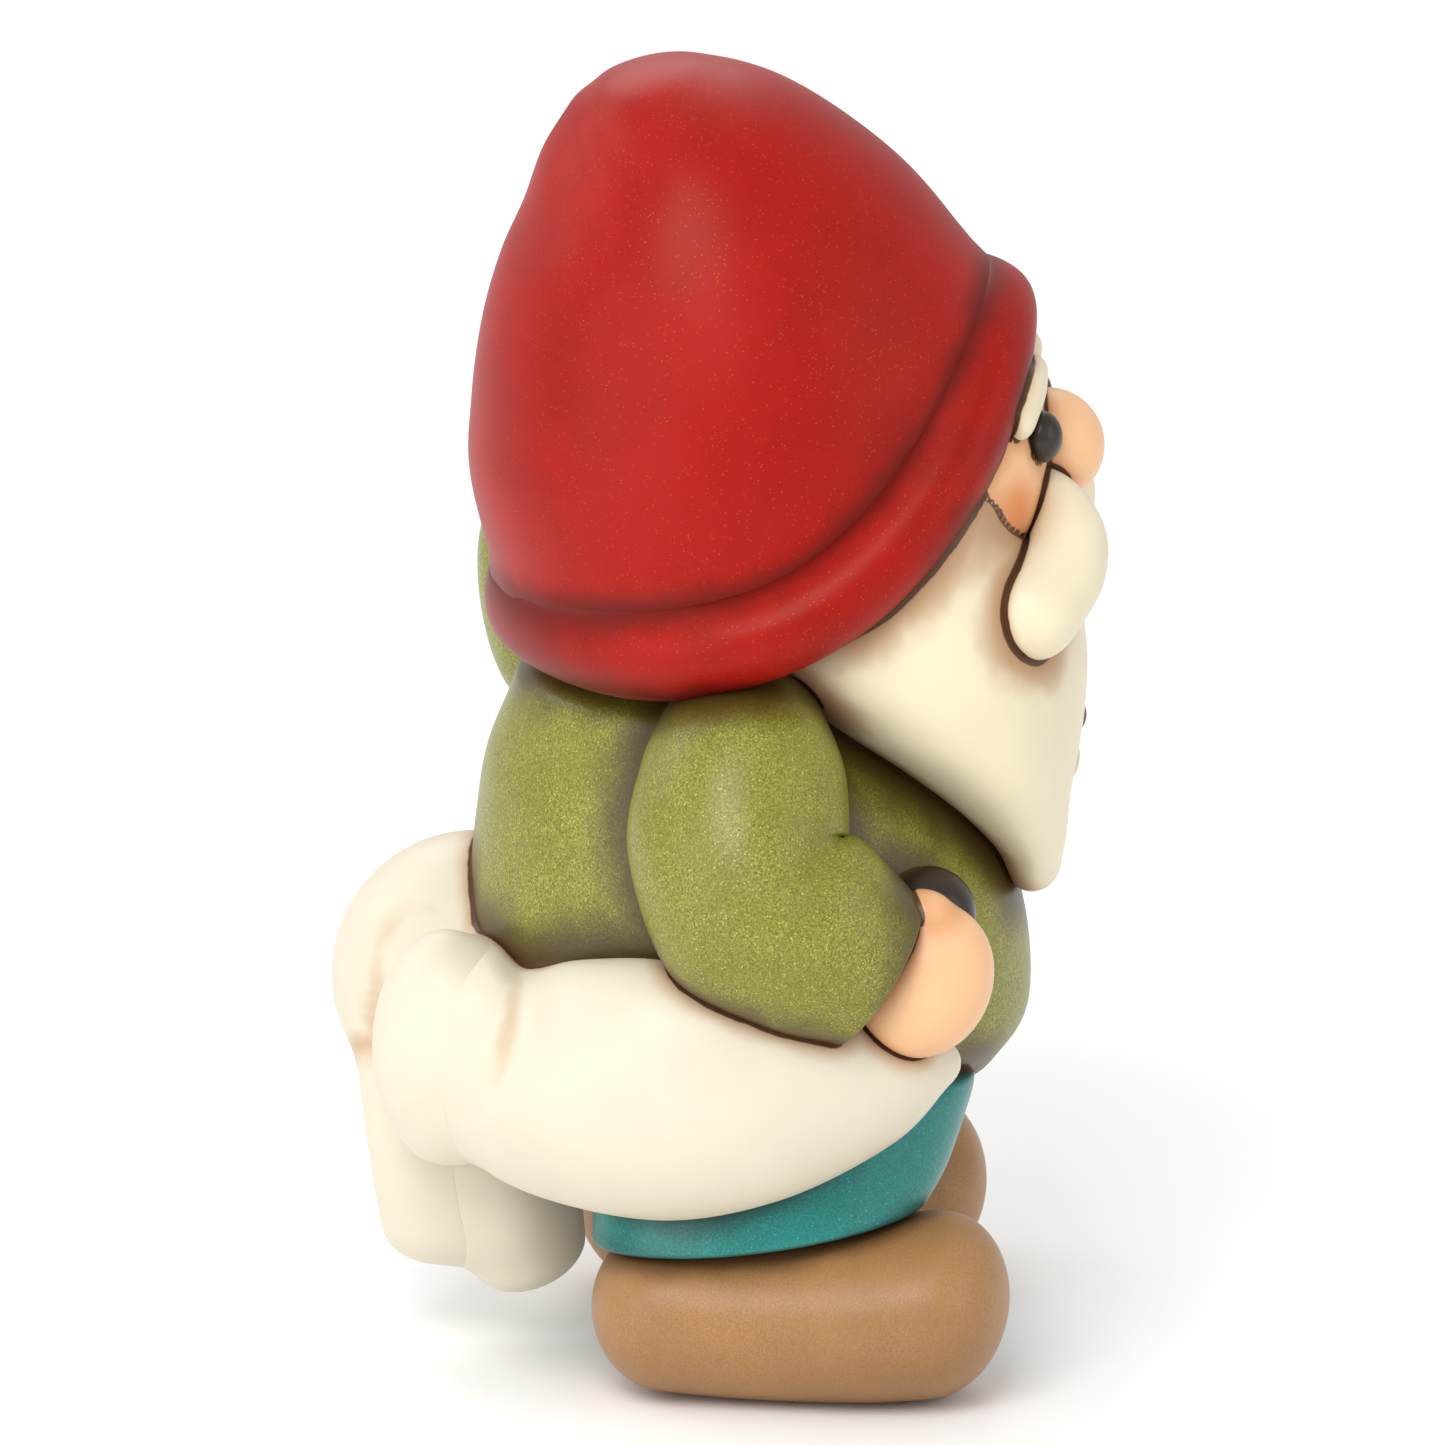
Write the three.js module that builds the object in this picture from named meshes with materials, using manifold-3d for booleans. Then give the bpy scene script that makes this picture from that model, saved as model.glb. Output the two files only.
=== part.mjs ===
// A standing tomte gnome in slip-cast, hand-painted ceramic, with a cloth sack slung round its back.
// Every piece is cast by itself and luted to its neighbours, so each is its own solid here and is
// trimmed to the pieces that it sits against. Millimetres, +Z up. The gnome faces -Y, so +X is its
// left side. The origin is at the middle of the whole figure's footprint, on the ground.

import * as THREE from "three";
import { mergeVertices } from "three/addons/utils/BufferGeometryUtils.js";
import Module from "manifold-3d";

const wasm = await Module();
wasm.setup();

// ---- Driving dimensions ----

const GAP = 0.3; // glue line between luted pieces
const WALL = 4; // wall of the hollow castings
const VENT_RADIUS = 5; // hole that lets air out of a hollow casting in the kiln

const STANCE = 31; // from the middle of the figure to the middle of a boot
const BOOT_LENGTH = 64;
const BOOT_WIDTH = 35;
const BOOT_HEIGHT = 28.5;
const BOOT_FORWARD = 11; // how far a boot's middle is in front of the body's middle
const TOE_OUT = 7; // degrees that each boot turns outwards

const LEG_WIDTH = 38;
const LEG_DEPTH = 56;
const LEG_SPREAD = 8; // how far each hem stands outside the top of its leg
const LEG_FORWARD = 9; // how far the top of a leg is in front of the body's middle
const LEG_BACK = 4.5; // and how far behind that its hem is
const LEG_HEIGHT = 18; // trousers that show between the boot and the jacket

const JACKET_DEPTH = 84;
const JACKET_WIDTH = 80;
const JACKET_HEIGHT = 68;
const JACKET_DROP = 5; // how far the jacket's hem hangs below the top of the trousers

const HEAD_RADIUS = 34;
const HEAD_FORWARD = 15.5;
const NECK_OVERLAP = 7; // how far the head sinks below the shoulders

const BEARD_LENGTH = 68;
const BEARD_WIDTH = 77;
const MOUSTACHE_LENGTH = 24;
const MOUSTACHE_THICKNESS = 14.5;
const NOSE_WIDTH = 19;
const NOSE_HEIGHT = 16.5;
const EYE_RADIUS = 4;
const EYE_SPACING = 27;
const BROW_LENGTH = 19;
const BROW_HEIGHT = 7.4;

const HAT_DEPTH = 78; // front to back across the hat's mouth
const HAT_WIDTH = 82;
const HAT_HEIGHT = 62.5; // from the middle of the mouth to the top
const BRIM_ROLL = 6.4; // radius of the rolled edge
const BRIM_TILT = 22.2; // how far the front of the roll rises, and the back falls
const BRIM_DROOP = 16.8; // how far the roll hangs down over the ears
const BRIM_FORWARD = 0.5; // how far in front of the middle of the hat's mouth the roll's middle is
const BRIM_UP = 0.8; // and how far above it
const TEMPLE_BULGE = 6; // how much the roll is pushed forward over the temples

const SLEEVE_RADIUS = 16.5;
const CUFF_RADIUS = 12.8;
const HAND_RADIUS = 12;
const THUMB_RADIUS = 4.6;
const GRIP_RADIUS = 7.3;

const SACK_HEIGHT = 40; // of the sack's body, where it is fullest
const SACK_THICKNESS = 27;
const BULGE_RADIUS = 20;
const FOLD_RADIUS = 12;
const CORNER_RADIUS = 11.5;

const SIDES = 14; // facets round a form
const CAVITY_SIDES = 8;
const CAP_RINGS = 3;

// ---- Heights that follow from them ----

const legTop = BOOT_HEIGHT + LEG_HEIGHT;
const jacketLow = legTop - JACKET_DROP;
const shoulder = jacketLow + JACKET_HEIGHT;
const headZ = shoulder - NECK_OVERLAP + HEAD_RADIUS;
const waist = jacketLow + JACKET_HEIGHT * 0.2; // height of the sack's body

// ---- Forms: a form is a function of how far its surface is grown, and gives a solid ----

const vec = (x, y, z) => new THREE.Vector3(x, y, z);

// A closed solid through rings of points, with a point at either end.
function solidThrough(rings, first, last) {
  const sides = rings[0].length;
  const points = [first, ...rings.flat(), last];
  const index = [];
  const at = (ring, side) => 1 + ring * sides + (side % sides);
  for (let side = 0; side < sides; side++) {
    index.push(0, at(0, side + 1), at(0, side));
    for (let ring = 0; ring + 1 < rings.length; ring++) {
      const [a, b] = [at(ring, side), at(ring, side + 1)];
      const [c, d] = [at(ring + 1, side), at(ring + 1, side + 1)];
      index.push(a, b, d, a, d, c);
    }
    const end = rings.length - 1;
    index.push(points.length - 1, at(end, side), at(end, side + 1));
  }
  const solid = manifoldOf(points, index);
  return solid.volume() > 0 ? solid : manifoldOf(points, index.reverse());
}

function manifoldOf(points, index) {
  const vertProperties = new Float32Array(points.flatMap((p) => [p.x, p.y, p.z]));
  return new wasm.Manifold(
    new wasm.Mesh({ numProp: 3, vertProperties, triVerts: new Uint32Array(index) }),
  );
}

// A station is one oval section: its middle, its two half axes, and how far its sides droop.
const station = (middle, across, deep, droop = 0) => ({ middle, across, deep, droop });

// A section drawn as a line from back to front in the figure's plane of symmetry, with a half width.
function chord(backY, backZ, frontY, frontZ, half, droop = 0) {
  const middle = vec(0, (backY + frontY) / 2, (backZ + frontZ) / 2);
  return station(middle, vec(half, 0, 0), vec(0, (frontY - backY) / 2, (frontZ - backZ) / 2), droop);
}

const smooth = (points) => new THREE.CatmullRomCurve3(points, false, "catmullrom", 0.5);

// Sections along a bent spine of [x, y, z, radius, flatness], where flatness thins them sideways.
// Each section is carried on from the one before without twisting.
function spine(points) {
  const curve = smooth(points.map((p) => vec(p[0], p[1], p[2])));
  let before = curve.getTangent(0);
  const level = Math.abs(before.z) > 0.8 ? vec(0, 1, 0) : vec(0, 0, 1);
  const across = vec().crossVectors(level, before).normalize();
  return points.map(([x, y, z, radius, flat = 1], i) => {
    const along = curve.getTangent(i / (points.length - 1));
    across.applyQuaternion(new THREE.Quaternion().setFromUnitVectors(before, along));
    before = along;
    const deep = vec().crossVectors(along, across).setLength(radius);
    return station(vec(x, y, z), across.clone().setLength(radius * flat), deep);
  });
}

const longer = (v, grow) => v.clone().setLength(Math.max(v.length() + grow, 0.2));

function ringAt({ middle, across, deep, droop }, grow, sides, shrink = 1) {
  const a = longer(across, grow).multiplyScalar(shrink);
  const b = longer(deep, grow).multiplyScalar(shrink);
  return Array.from({ length: sides }, (_, i) => {
    const turn = (2 * Math.PI * i) / sides;
    const p = middle.clone().addScaledVector(a, Math.cos(turn)).addScaledVector(b, Math.sin(turn));
    return p.setZ(p.z - droop * Math.cos(turn) ** 2);
  });
}

// A smooth form through stations, with a rounded cap of the given length at either end.
function loft(stations, capFirst, capLast, between = 2) {
  return (grow = 0, sides = SIDES) => {
    const blend = (key) => smooth(stations.map((s) => s[key]));
    const [middles, acrosses, deeps] = ["middle", "across", "deep"].map(blend);
    const steps = (stations.length - 1) * between;
    const filled = Array.from({ length: steps + 1 }, (_, i) => {
      const t = i / steps;
      const low = Math.min(Math.floor(t * (stations.length - 1)), stations.length - 2);
      const share = t * (stations.length - 1) - low;
      const droop = THREE.MathUtils.lerp(stations[low].droop, stations[low + 1].droop, share);
      return station(middles.getPoint(t), acrosses.getPoint(t), deeps.getPoint(t), droop);
    });
    const rings = filled.map((s) => ringAt(s, grow, sides));
    const cap = (end, out, length) => {
      const made = [];
      for (let i = 1; i < CAP_RINGS; i++) {
        const turn = ((Math.PI / 2) * i) / CAP_RINGS;
        const middle = end.middle.clone().addScaledVector(out, (length + grow) * Math.sin(turn));
        made.push(ringAt({ ...end, middle }, grow, sides, Math.cos(turn)));
      }
      return made;
    };
    const [head, tail] = [filled[0], filled.at(-1)];
    const outFirst = middles.getTangent(0).negate();
    const outLast = middles.getTangent(1);
    const first = head.middle.clone().addScaledVector(outFirst, capFirst + grow);
    const last = tail.middle.clone().addScaledVector(outLast, capLast + grow);
    first.z -= head.droop * 0.5;
    last.z -= tail.droop * 0.5;
    const all = [...cap(head, outFirst, capFirst).reverse(), ...rings, ...cap(tail, outLast, capLast)];
    return solidThrough(all, first, last);
  };
}

// An ellipsoid, turned about X, Y and Z.
function egg(x, y, z, rx, ry, rz, turn = [0, 0, 0]) {
  return (grow = 0, sides = SIDES) => {
    const shape = new THREE.SphereGeometry(1, sides, Math.round(sides / 2));
    shape.scale(rx + grow, ry + grow, rz + grow);
    turn.forEach((angle, i) => shape[["rotateX", "rotateY", "rotateZ"][i]](angle));
    shape.translate(x, y, z);
    return solidOf(shape);
  };
}

function solidOf(shape) {
  for (const name of ["normal", "uv"]) shape.deleteAttribute(name);
  const merged = mergeVertices(shape, 1e-4);
  return new wasm.Manifold(
    new wasm.Mesh({
      numProp: 3,
      vertProperties: merged.attributes.position.array,
      triVerts: new Uint32Array(merged.index.array),
    }),
  );
}

// A round bar from one point towards another.
function bar(from, to, radius) {
  const along = vec().subVectors(to, from);
  const shape = new THREE.CylinderGeometry(radius, radius, along.length(), CAVITY_SIDES);
  shape.translate(0, along.length() / 2, 0);
  shape.applyQuaternion(new THREE.Quaternion().setFromUnitVectors(vec(0, 1, 0), along.normalize()));
  shape.translate(from.x, from.y, from.z);
  return solidOf(shape);
}

const mirrored = (form) => (grow, sides) => form(grow, sides).mirror([1, 0, 0]);

// ---- Boots: one long bean each, flat under the sole ----

function boot(side) {
  const [half, tall] = [BOOT_WIDTH / 2, BOOT_HEIGHT / 2];
  const rows = [
    [0.32, 0.86, 0.88, -0.02],
    [0.1, 0.93, 0.91, -0.05],
    [-0.14, 1.0, 0.96, 0],
    [-0.3, 0.98, 0.98, 0.07],
  ];
  const turn = THREE.MathUtils.degToRad(TOE_OUT) * side;
  const stations = rows.map(([along, wide, high, lift]) => {
    const middle = vec(0, along * BOOT_LENGTH, tall * (0.94 + lift));
    middle.applyAxisAngle(vec(0, 0, 1), turn).add(vec(side * STANCE, -BOOT_FORWARD, 0));
    const across = vec(half * wide, 0, 0).applyAxisAngle(vec(0, 0, 1), turn);
    return station(middle, across, vec(0, 0, tall * high));
  });
  const form = loft(stations, BOOT_LENGTH * 0.18, BOOT_LENGTH * 0.18);
  return (grow, sides) => form(grow, sides).trimByPlane([0, 0, 1], grow ? -grow : 0);
}

// ---- Trousers ----

function leg(side) {
  const [half, deep] = [LEG_WIDTH / 2, LEG_DEPTH / 2];
  const rows = [
    // height behind and in front, width, depth, and share of the spread
    [BOOT_HEIGHT - 5, BOOT_HEIGHT + 1, 0.88, 0.9, 1],
    [BOOT_HEIGHT + 3, BOOT_HEIGHT + 6, 0.96, 0.95, 0.6],
    [legTop - 4, legTop - 3, 1, 1, 0.15],
    [legTop, legTop, 1, 1, 0],
  ];
  const stations = rows.map(([backZ, frontZ, wide, long, spread]) => {
    const section = chord(deep * long, backZ, -deep * long, frontZ, half * wide);
    section.middle.add(vec(side * (half + GAP + LEG_SPREAD * spread), LEG_BACK * spread - LEG_FORWARD, 0));
    return section;
  });
  return loft(stations, 3, 3);
}

// ---- Jacket ----

const jacketRows = [
  [0.05, 0.39, -0.49, 0.84],
  [0.15, 0.43, -0.545, 0.96],
  [0.3, 0.45, -0.55, 1],
  [0.46, 0.45, -0.525, 0.99],
  [0.6, 0.44, -0.475, 0.95],
  [0.75, 0.42, -0.4, 0.88],
  [0.9, 0.37, -0.26, 0.74],
];
const jacketForm = loft(
  jacketRows.map(([up, back, front, wide]) => {
    const z = jacketLow + up * JACKET_HEIGHT;
    return chord(back * JACKET_DEPTH, z, front * JACKET_DEPTH, z, (wide * JACKET_WIDTH) / 2);
  }),
  JACKET_HEIGHT * 0.06,
  JACKET_HEIGHT * 0.1,
);

// ---- Head, and what is luted on to its face ----

const headForm = egg(0, -HEAD_FORWARD, headZ, HEAD_RADIUS * 1.08, HEAD_RADIUS, HEAD_RADIUS);

// Depth of the face's surface at a place on it.
function faceY(x, z) {
  const inside = 1 - (x / (HEAD_RADIUS * 1.08)) ** 2 - ((z - headZ) / HEAD_RADIUS) ** 2;
  return -HEAD_FORWARD - HEAD_RADIUS * Math.sqrt(Math.max(inside, 0));
}

const eyeZ = headZ + HEAD_RADIUS * 0.19;
const noseZ = headZ + HEAD_RADIUS * 0.06;
const browZ = eyeZ + EYE_RADIUS + BROW_HEIGHT * 0.42;
const noseForm = egg(0, faceY(0, noseZ) + 0.6, noseZ, NOSE_WIDTH / 2, NOSE_HEIGHT / 2, NOSE_HEIGHT / 2);

function eye(side) {
  const x = (side * EYE_SPACING) / 2;
  return egg(x, faceY(x, eyeZ) - 0.3, eyeZ, EYE_RADIUS * 0.9, EYE_RADIUS * 0.85, EYE_RADIUS);
}

function brow(side) {
  const tall = BROW_HEIGHT / 2;
  const rows = [
    // how far out from the middle, up, and proud of the face, and thickness
    [EYE_SPACING / 2 - BROW_LENGTH * 0.29, 2, 1.2, 0.85],
    [EYE_SPACING / 2 + BROW_LENGTH * 0.05, 0.5, 1.9, 1.08],
    [EYE_SPACING / 2 + BROW_LENGTH * 0.34, -2.8, 2, 0.92],
  ];
  const points = rows.map(([x, up, proud, fat]) => {
    return [side * x, faceY(x, browZ + up) - proud, browZ + up, tall * fat, 0.75];
  });
  return loft(spine(points), tall * 0.8, tall * 0.8);
}

function moustache(side) {
  const [fat, long] = [MOUSTACHE_THICKNESS / 2, MOUSTACHE_LENGTH];
  const top = noseZ - NOSE_HEIGHT * 0.1;
  const front = faceY(0, top);
  return loft(
    spine([
      [side * 8.5, front + 2.6, top - 1.5, fat * 0.4],
      [side * 11, front - 0.2, top - long * 0.22, fat * 0.62],
      [side * 15, front - 1.3, top - long * 0.38, fat * 0.82],
      [side * 19, front - 0.2, top - long * 0.54, fat * 0.93],
      [side * 25.5, front + 4.6, top - long * 0.75, fat],
    ]),
    fat * 0.4,
    fat * 0.95,
  );
}

// ---- Beard ----

const beardTop = headZ + HEAD_RADIUS * 0.06;
const beardRows = [
  // how far down at the back and front, how far back and front, half width
  [-0.25, 0.14, -2, 29.5, 0.86],
  [0.08, 0.265, 18, 36.5, 0.96],
  [0.32, 0.43, 21, 39, 1],
  [0.51, 0.56, 8, 39, 0.96],
  [0.66, 0.67, -7, 38, 0.85],
  [0.78, 0.77, -17.5, 36.8, 0.68],
  [0.88, 0.87, -24, 36.2, 0.52],
  [0.95, 0.93, -26, 35.5, 0.38],
];
const beardForm = loft(
  beardRows.map(([backDown, frontDown, back, front, wide]) =>
    chord(
      back - HEAD_FORWARD,
      beardTop - backDown * BEARD_LENGTH,
      -front - HEAD_FORWARD,
      beardTop - frontDown * BEARD_LENGTH,
      (wide * BEARD_WIDTH) / 2,
    ),
  ),
  4,
  BEARD_LENGTH * 0.06,
);
const beadZ = beardTop - BEARD_LENGTH * 0.63;
const beadY = -HEAD_FORWARD - 36.4;
const beadForm = egg(3, beadY, beadZ, 3.4, 3, 3.2);
const tuftForm = egg(3, beadY + 1, beadZ - 6.4, 4, 3, 4.4);

// ---- Hat: a crown with a rolled brim that rises in front and droops over the ears ----

const hatY = 10.2 - HEAD_FORWARD;
const hatZ = headZ;
const crownRows = [
  // back and front of each section as shares of the hat's depth and height, half width, droop
  [0.48, -0.37, -0.44, 0.28, 0.96, 1.1],
  [0.55, -0.05, -0.44, 0.46, 1, 0.66],
  [0.55, 0.145, -0.37, 0.595, 0.95, 0.4],
  [0.53, 0.34, -0.285, 0.72, 0.85, 0.2],
  [0.495, 0.5, -0.18, 0.83, 0.74, 0.1],
  [0.45, 0.63, -0.075, 0.915, 0.6, 0],
  [0.415, 0.76, 0.02, 0.965, 0.45, 0],
  [0.375, 0.865, 0.1, 0.985, 0.31, 0],
];
const crownForm = loft(
  crownRows.map(([backY, backZ, frontY, frontZ, wide, droop]) =>
    chord(
      hatY + backY * HAT_DEPTH,
      hatZ + backZ * HAT_HEIGHT,
      hatY + frontY * HAT_DEPTH,
      hatZ + frontZ * HAT_HEIGHT,
      (wide * HAT_WIDTH) / 2,
      droop * BRIM_DROOP,
    ),
  ),
  3,
  3,
);

// The rolled edge is a closed loop, so it is swept round by itself.
function brimForm(grow = 0, sides = 10) {
  const around = 30;
  const path = (turn) => {
    const [side, lean] = [Math.sin(turn), Math.cos(turn)];
    const temple = lean < 0 ? TEMPLE_BULGE * (side * lean) ** 2 : 0;
    return vec(
      side * (HAT_WIDTH / 2 - 1),
      hatY - BRIM_FORWARD + lean * HAT_DEPTH * 0.442 - 0.4 * side ** 2 - temple,
      hatZ + BRIM_UP - BRIM_TILT * lean - BRIM_DROOP * side ** 2 * (1 - 0.5 * lean),
    );
  };
  const points = [];
  const index = [];
  for (let i = 0; i < around; i++) {
    const turn = (2 * Math.PI * i) / around;
    const middle = path(turn);
    const along = path(turn + 0.01).sub(path(turn - 0.01)).normalize();
    const out = vec(Math.sin(turn), Math.cos(turn), 0);
    out.addScaledVector(along, -out.dot(along)).normalize();
    const up = vec().crossVectors(out, along).normalize();
    for (let j = 0; j < sides; j++) {
      const lean = (2 * Math.PI * j) / sides;
      const radius = BRIM_ROLL + grow;
      const tall = radius * 1.08;
      points.push(
        middle
          .clone()
          .addScaledVector(out, radius * Math.cos(lean))
          .addScaledVector(up, tall * Math.sin(lean)),
      );
      const [next, beside] = [((i + 1) % around) * sides, (j + 1) % sides];
      const [a, b, c, d] = [i * sides + j, i * sides + beside, next + j, next + beside];
      index.push(a, c, b, b, c, d);
    }
  }
  const solid = manifoldOf(points, index);
  return solid.volume() > 0 ? solid : manifoldOf(points, index.reverse());
}

// ---- Arms: the right hand is at the hip and grips the sack, the left one is raised to the hat ----

const armpit = JACKET_WIDTH / 2;
const [arm, cuff, hand] = [SLEEVE_RADIUS, CUFF_RADIUS, HAND_RADIUS];
const shoulderZ = shoulder - 8;

const rightSleeveForm = loft(
  spine([
    [-armpit + 12, -2, shoulderZ + 2, arm * 0.72],
    [-armpit + 4, -1.5, shoulderZ - 3.5, arm * 0.92],
    [-armpit - 2.5, -0.5, shoulderZ - 13, arm],
    [-armpit - 6.5, -3, shoulderZ - 21.5, arm * 0.99],
    [-armpit - 7.5, -11, shoulderZ - 25.5, arm * 0.96],
    [-armpit - 6.5, -20.5, shoulderZ - 31.6, cuff],
  ]),
  4,
  1.5,
);
const rightHand = vec(-armpit - 5, -28, shoulderZ - 33.5);
const rightHandForm = egg(rightHand.x, rightHand.y, rightHand.z, hand * 0.8, hand * 0.85, hand, [0.35, 0, 0]);
const rightThumbForm = egg(
  rightHand.x - 1.5,
  rightHand.y + 0.6,
  rightHand.z + hand * 0.87,
  THUMB_RADIUS * 0.9,
  THUMB_RADIUS,
  THUMB_RADIUS * 0.82,
);
const gripForm = egg(
  rightHand.x + 8,
  rightHand.y - 0.9,
  rightHand.z + hand * 0.65,
  GRIP_RADIUS,
  GRIP_RADIUS,
  GRIP_RADIUS,
);

const leftSleeveForm = loft(
  spine([
    [armpit - 14, 2, shoulderZ - 2, arm * 0.8],
    [armpit - 3, 8, shoulderZ - 4, arm * 0.92],
    [armpit + 8, 18, shoulderZ - 2, arm * 0.98],
    [armpit + 15, 20, shoulderZ + 7, arm * 0.9],
    [armpit + 16, 13, shoulderZ + 19, arm * 0.84],
    [armpit + 13, 7, shoulderZ + 27, cuff],
  ]),
  4,
  1.5,
);
const leftHand = vec(armpit + 9.5, 1, shoulderZ + 35);
const leftHandForm = egg(leftHand.x, leftHand.y, leftHand.z, hand * 0.75, hand * 0.85, hand, [0.35, 0, 0]);
const leftThumbForm = egg(
  leftHand.x + 1,
  leftHand.y - hand * 0.8,
  leftHand.z - 1,
  THUMB_RADIUS * 0.9,
  THUMB_RADIUS,
  THUMB_RADIUS * 1.3,
);

// ---- Sack: a body that narrows to the right hand, a bulge and a fold behind, two hanging corners ----

const [sackTall, sackFlat] = [SACK_HEIGHT / 2, SACK_THICKNESS / SACK_HEIGHT];
const backY = JACKET_DEPTH * 0.45;
const sackForm = loft(
  spine([
    [-armpit + 3, -31, waist - 2, sackTall * 0.18, 1],
    [-armpit - 3, -22, waist - 3.6, sackTall * 0.47, 0.75],
    [-armpit - 5.5, -6, waist - 4.3, sackTall * 0.82, sackFlat],
    [-armpit - 2, 12, waist - 4.5, sackTall, sackFlat],
    [-armpit + 12, 30, waist - 5.6, sackTall * 0.89, sackFlat * 1.07],
    [-armpit + 34, backY - 4.5, waist - 4.6, sackTall * 0.85, sackFlat],
    [armpit - 22, backY - 4.5, waist - 1, sackTall * 0.84, sackFlat],
    [armpit - 6, 24, waist - 2, sackTall * 0.7, sackFlat],
    [armpit - 1, 8, waist - 2, sackTall * 0.45, sackFlat],
  ]),
  3,
  8,
);
const bulgeForm = egg(10, backY - 1, waist - 0.7, BULGE_RADIUS, BULGE_RADIUS * 1.09, BULGE_RADIUS * 1.09);
const foldForm = egg(-armpit + 21, backY + 4.5, waist - 4, FOLD_RADIUS, FOLD_RADIUS * 0.92, FOLD_RADIUS * 1.5);
const rearCornerForm = loft(
  spine([
    [2, backY + 8.4, waist - 9, CORNER_RADIUS * 0.8],
    [1, backY + 5, waist - 25, CORNER_RADIUS * 0.92],
    [0, backY + 4, waist - 36, CORNER_RADIUS * 0.85],
  ]),
  3,
  7,
);
const frontCornerForm = loft(
  spine([
    [-2, backY - 1.5, waist - 24, CORNER_RADIUS * 0.8],
    [-1, backY - 5.8, waist - 34, CORNER_RADIUS * 0.95],
    [0, backY - 8.6, waist - 41, CORNER_RADIUS * 0.78],
  ]),
  3,
  5.5,
);

// ---- Assembly: pieces listed first stay whole, and each later one is trimmed to those before it ----

const finish = (color, roughness) => new THREE.MeshStandardMaterial({ color, roughness, metalness: 0 });
const red = finish(0xb9201a, 0.42);
const green = finish(0x8d8f2c, 0.45);
const teal = finish(0x1b6f68, 0.42);
const cream = finish(0xf1e7cd, 0.5);
const skin = finish(0xf3c79d, 0.5);
const brown = finish(0xab8054, 0.5);
const black = finish(0x2b261f, 0.4);

const figure = new THREE.Group();
const placed = [];

const touches = (a, b) =>
  [0, 1, 2].every((i) => a.min[i] < b.max[i] && b.min[i] < a.max[i]);

function place(name, form, material, vent) {
  let solid = form(0);
  if (vent) {
    solid = solid.subtract(form(-WALL, CAVITY_SIDES)).subtract(bar(vent.from, vent.to, VENT_RADIUS));
  }
  for (const earlier of placed) {
    if (touches(solid.boundingBox(), earlier.box)) solid = solid.subtract(earlier.grown);
  }
  solid = solid.decompose().sort((a, b) => b.volume() - a.volume())[0];
  const grown = form(GAP);
  placed.push({ grown, box: grown.boundingBox() });

  const mesh = solid.getMesh();
  const geometry = new THREE.BufferGeometry();
  geometry.setAttribute("position", new THREE.BufferAttribute(mesh.vertProperties, 3));
  geometry.setIndex(new THREE.BufferAttribute(mesh.triVerts, 1));
  const part = new THREE.Mesh(geometry, material);
  part.name = name;
  figure.add(part);
}

const vents = {
  crown: { from: vec(0, hatY, hatZ + 6), to: vec(0, hatY, hatZ - 30) },
  jacket: { from: vec(0, 0, waist), to: vec(0, 0, jacketLow - 10) },
  beard: { from: vec(0, -HEAD_FORWARD - 8, headZ - 24), to: vec(0, -HEAD_FORWARD - 8, headZ + 20) },
  sack: { from: vec(20, backY - 5, waist - 4), to: vec(20, backY - 5, waist - 30) },
};

place("hat_brim", brimForm, red);
place("hat_crown", crownForm, red, vents.crown);
place("nose", noseForm, skin);
for (const [side, word] of [[-1, "right"], [1, "left"]]) {
  place(`eye_${word}`, eye(side), black);
  place(`eyebrow_${word}`, brow(side), cream);
  place(`moustache_${word}`, moustache(side), cream);
}
place("beard_bead", beadForm, black);
place("beard_tuft", tuftForm, cream);
place("jacket_body", jacketForm, green, vents.jacket);
place("beard", beardForm, cream, vents.beard);
place("head", headForm, skin);
place("hand_right", rightHandForm, skin);
place("hand_left", leftHandForm, skin);
place("thumb_right", rightThumbForm, skin);
place("thumb_left", leftThumbForm, skin);
place("sleeve_right", rightSleeveForm, green);
place("sleeve_left", leftSleeveForm, green);
place("sack_grip", gripForm, black);
place("sack_fold", foldForm, cream);
place("sack_body", sackForm, cream, vents.sack);
place("sack_bulge", bulgeForm, cream);
place("sack_corner_rear", rearCornerForm, cream);
place("sack_corner_front", frontCornerForm, cream);
for (const [side, word] of [[-1, "right"], [1, "left"]]) {
  place(`boot_${word}`, boot(side), brown);
  place(`trouser_leg_${word}`, leg(side), teal);
}

// The origin goes to the middle of the footprint of the whole figure.
const whole = new THREE.Box3().setFromObject(figure);
const middle = whole.getCenter(vec());
figure.position.set(-middle.x, -middle.y, -whole.min.z);

export default figure;
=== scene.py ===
"""Looks of a tomte gnome figurine: cast, luted, airbrushed and brush-outlined glazed ceramic.

It is laid out as an add-on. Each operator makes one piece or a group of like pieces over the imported
frame, one paints the joins between them, and one makes the stage. Lengths inside are millimetres
until a mesh is made. The gnome faces -Y, and its left side is +X.
"""

import math

import bpy
import numpy as np
from bpy.props import FloatProperty, FloatVectorProperty, PointerProperty
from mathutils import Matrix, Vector
from mathutils.bvhtree import BVHTree


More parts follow.
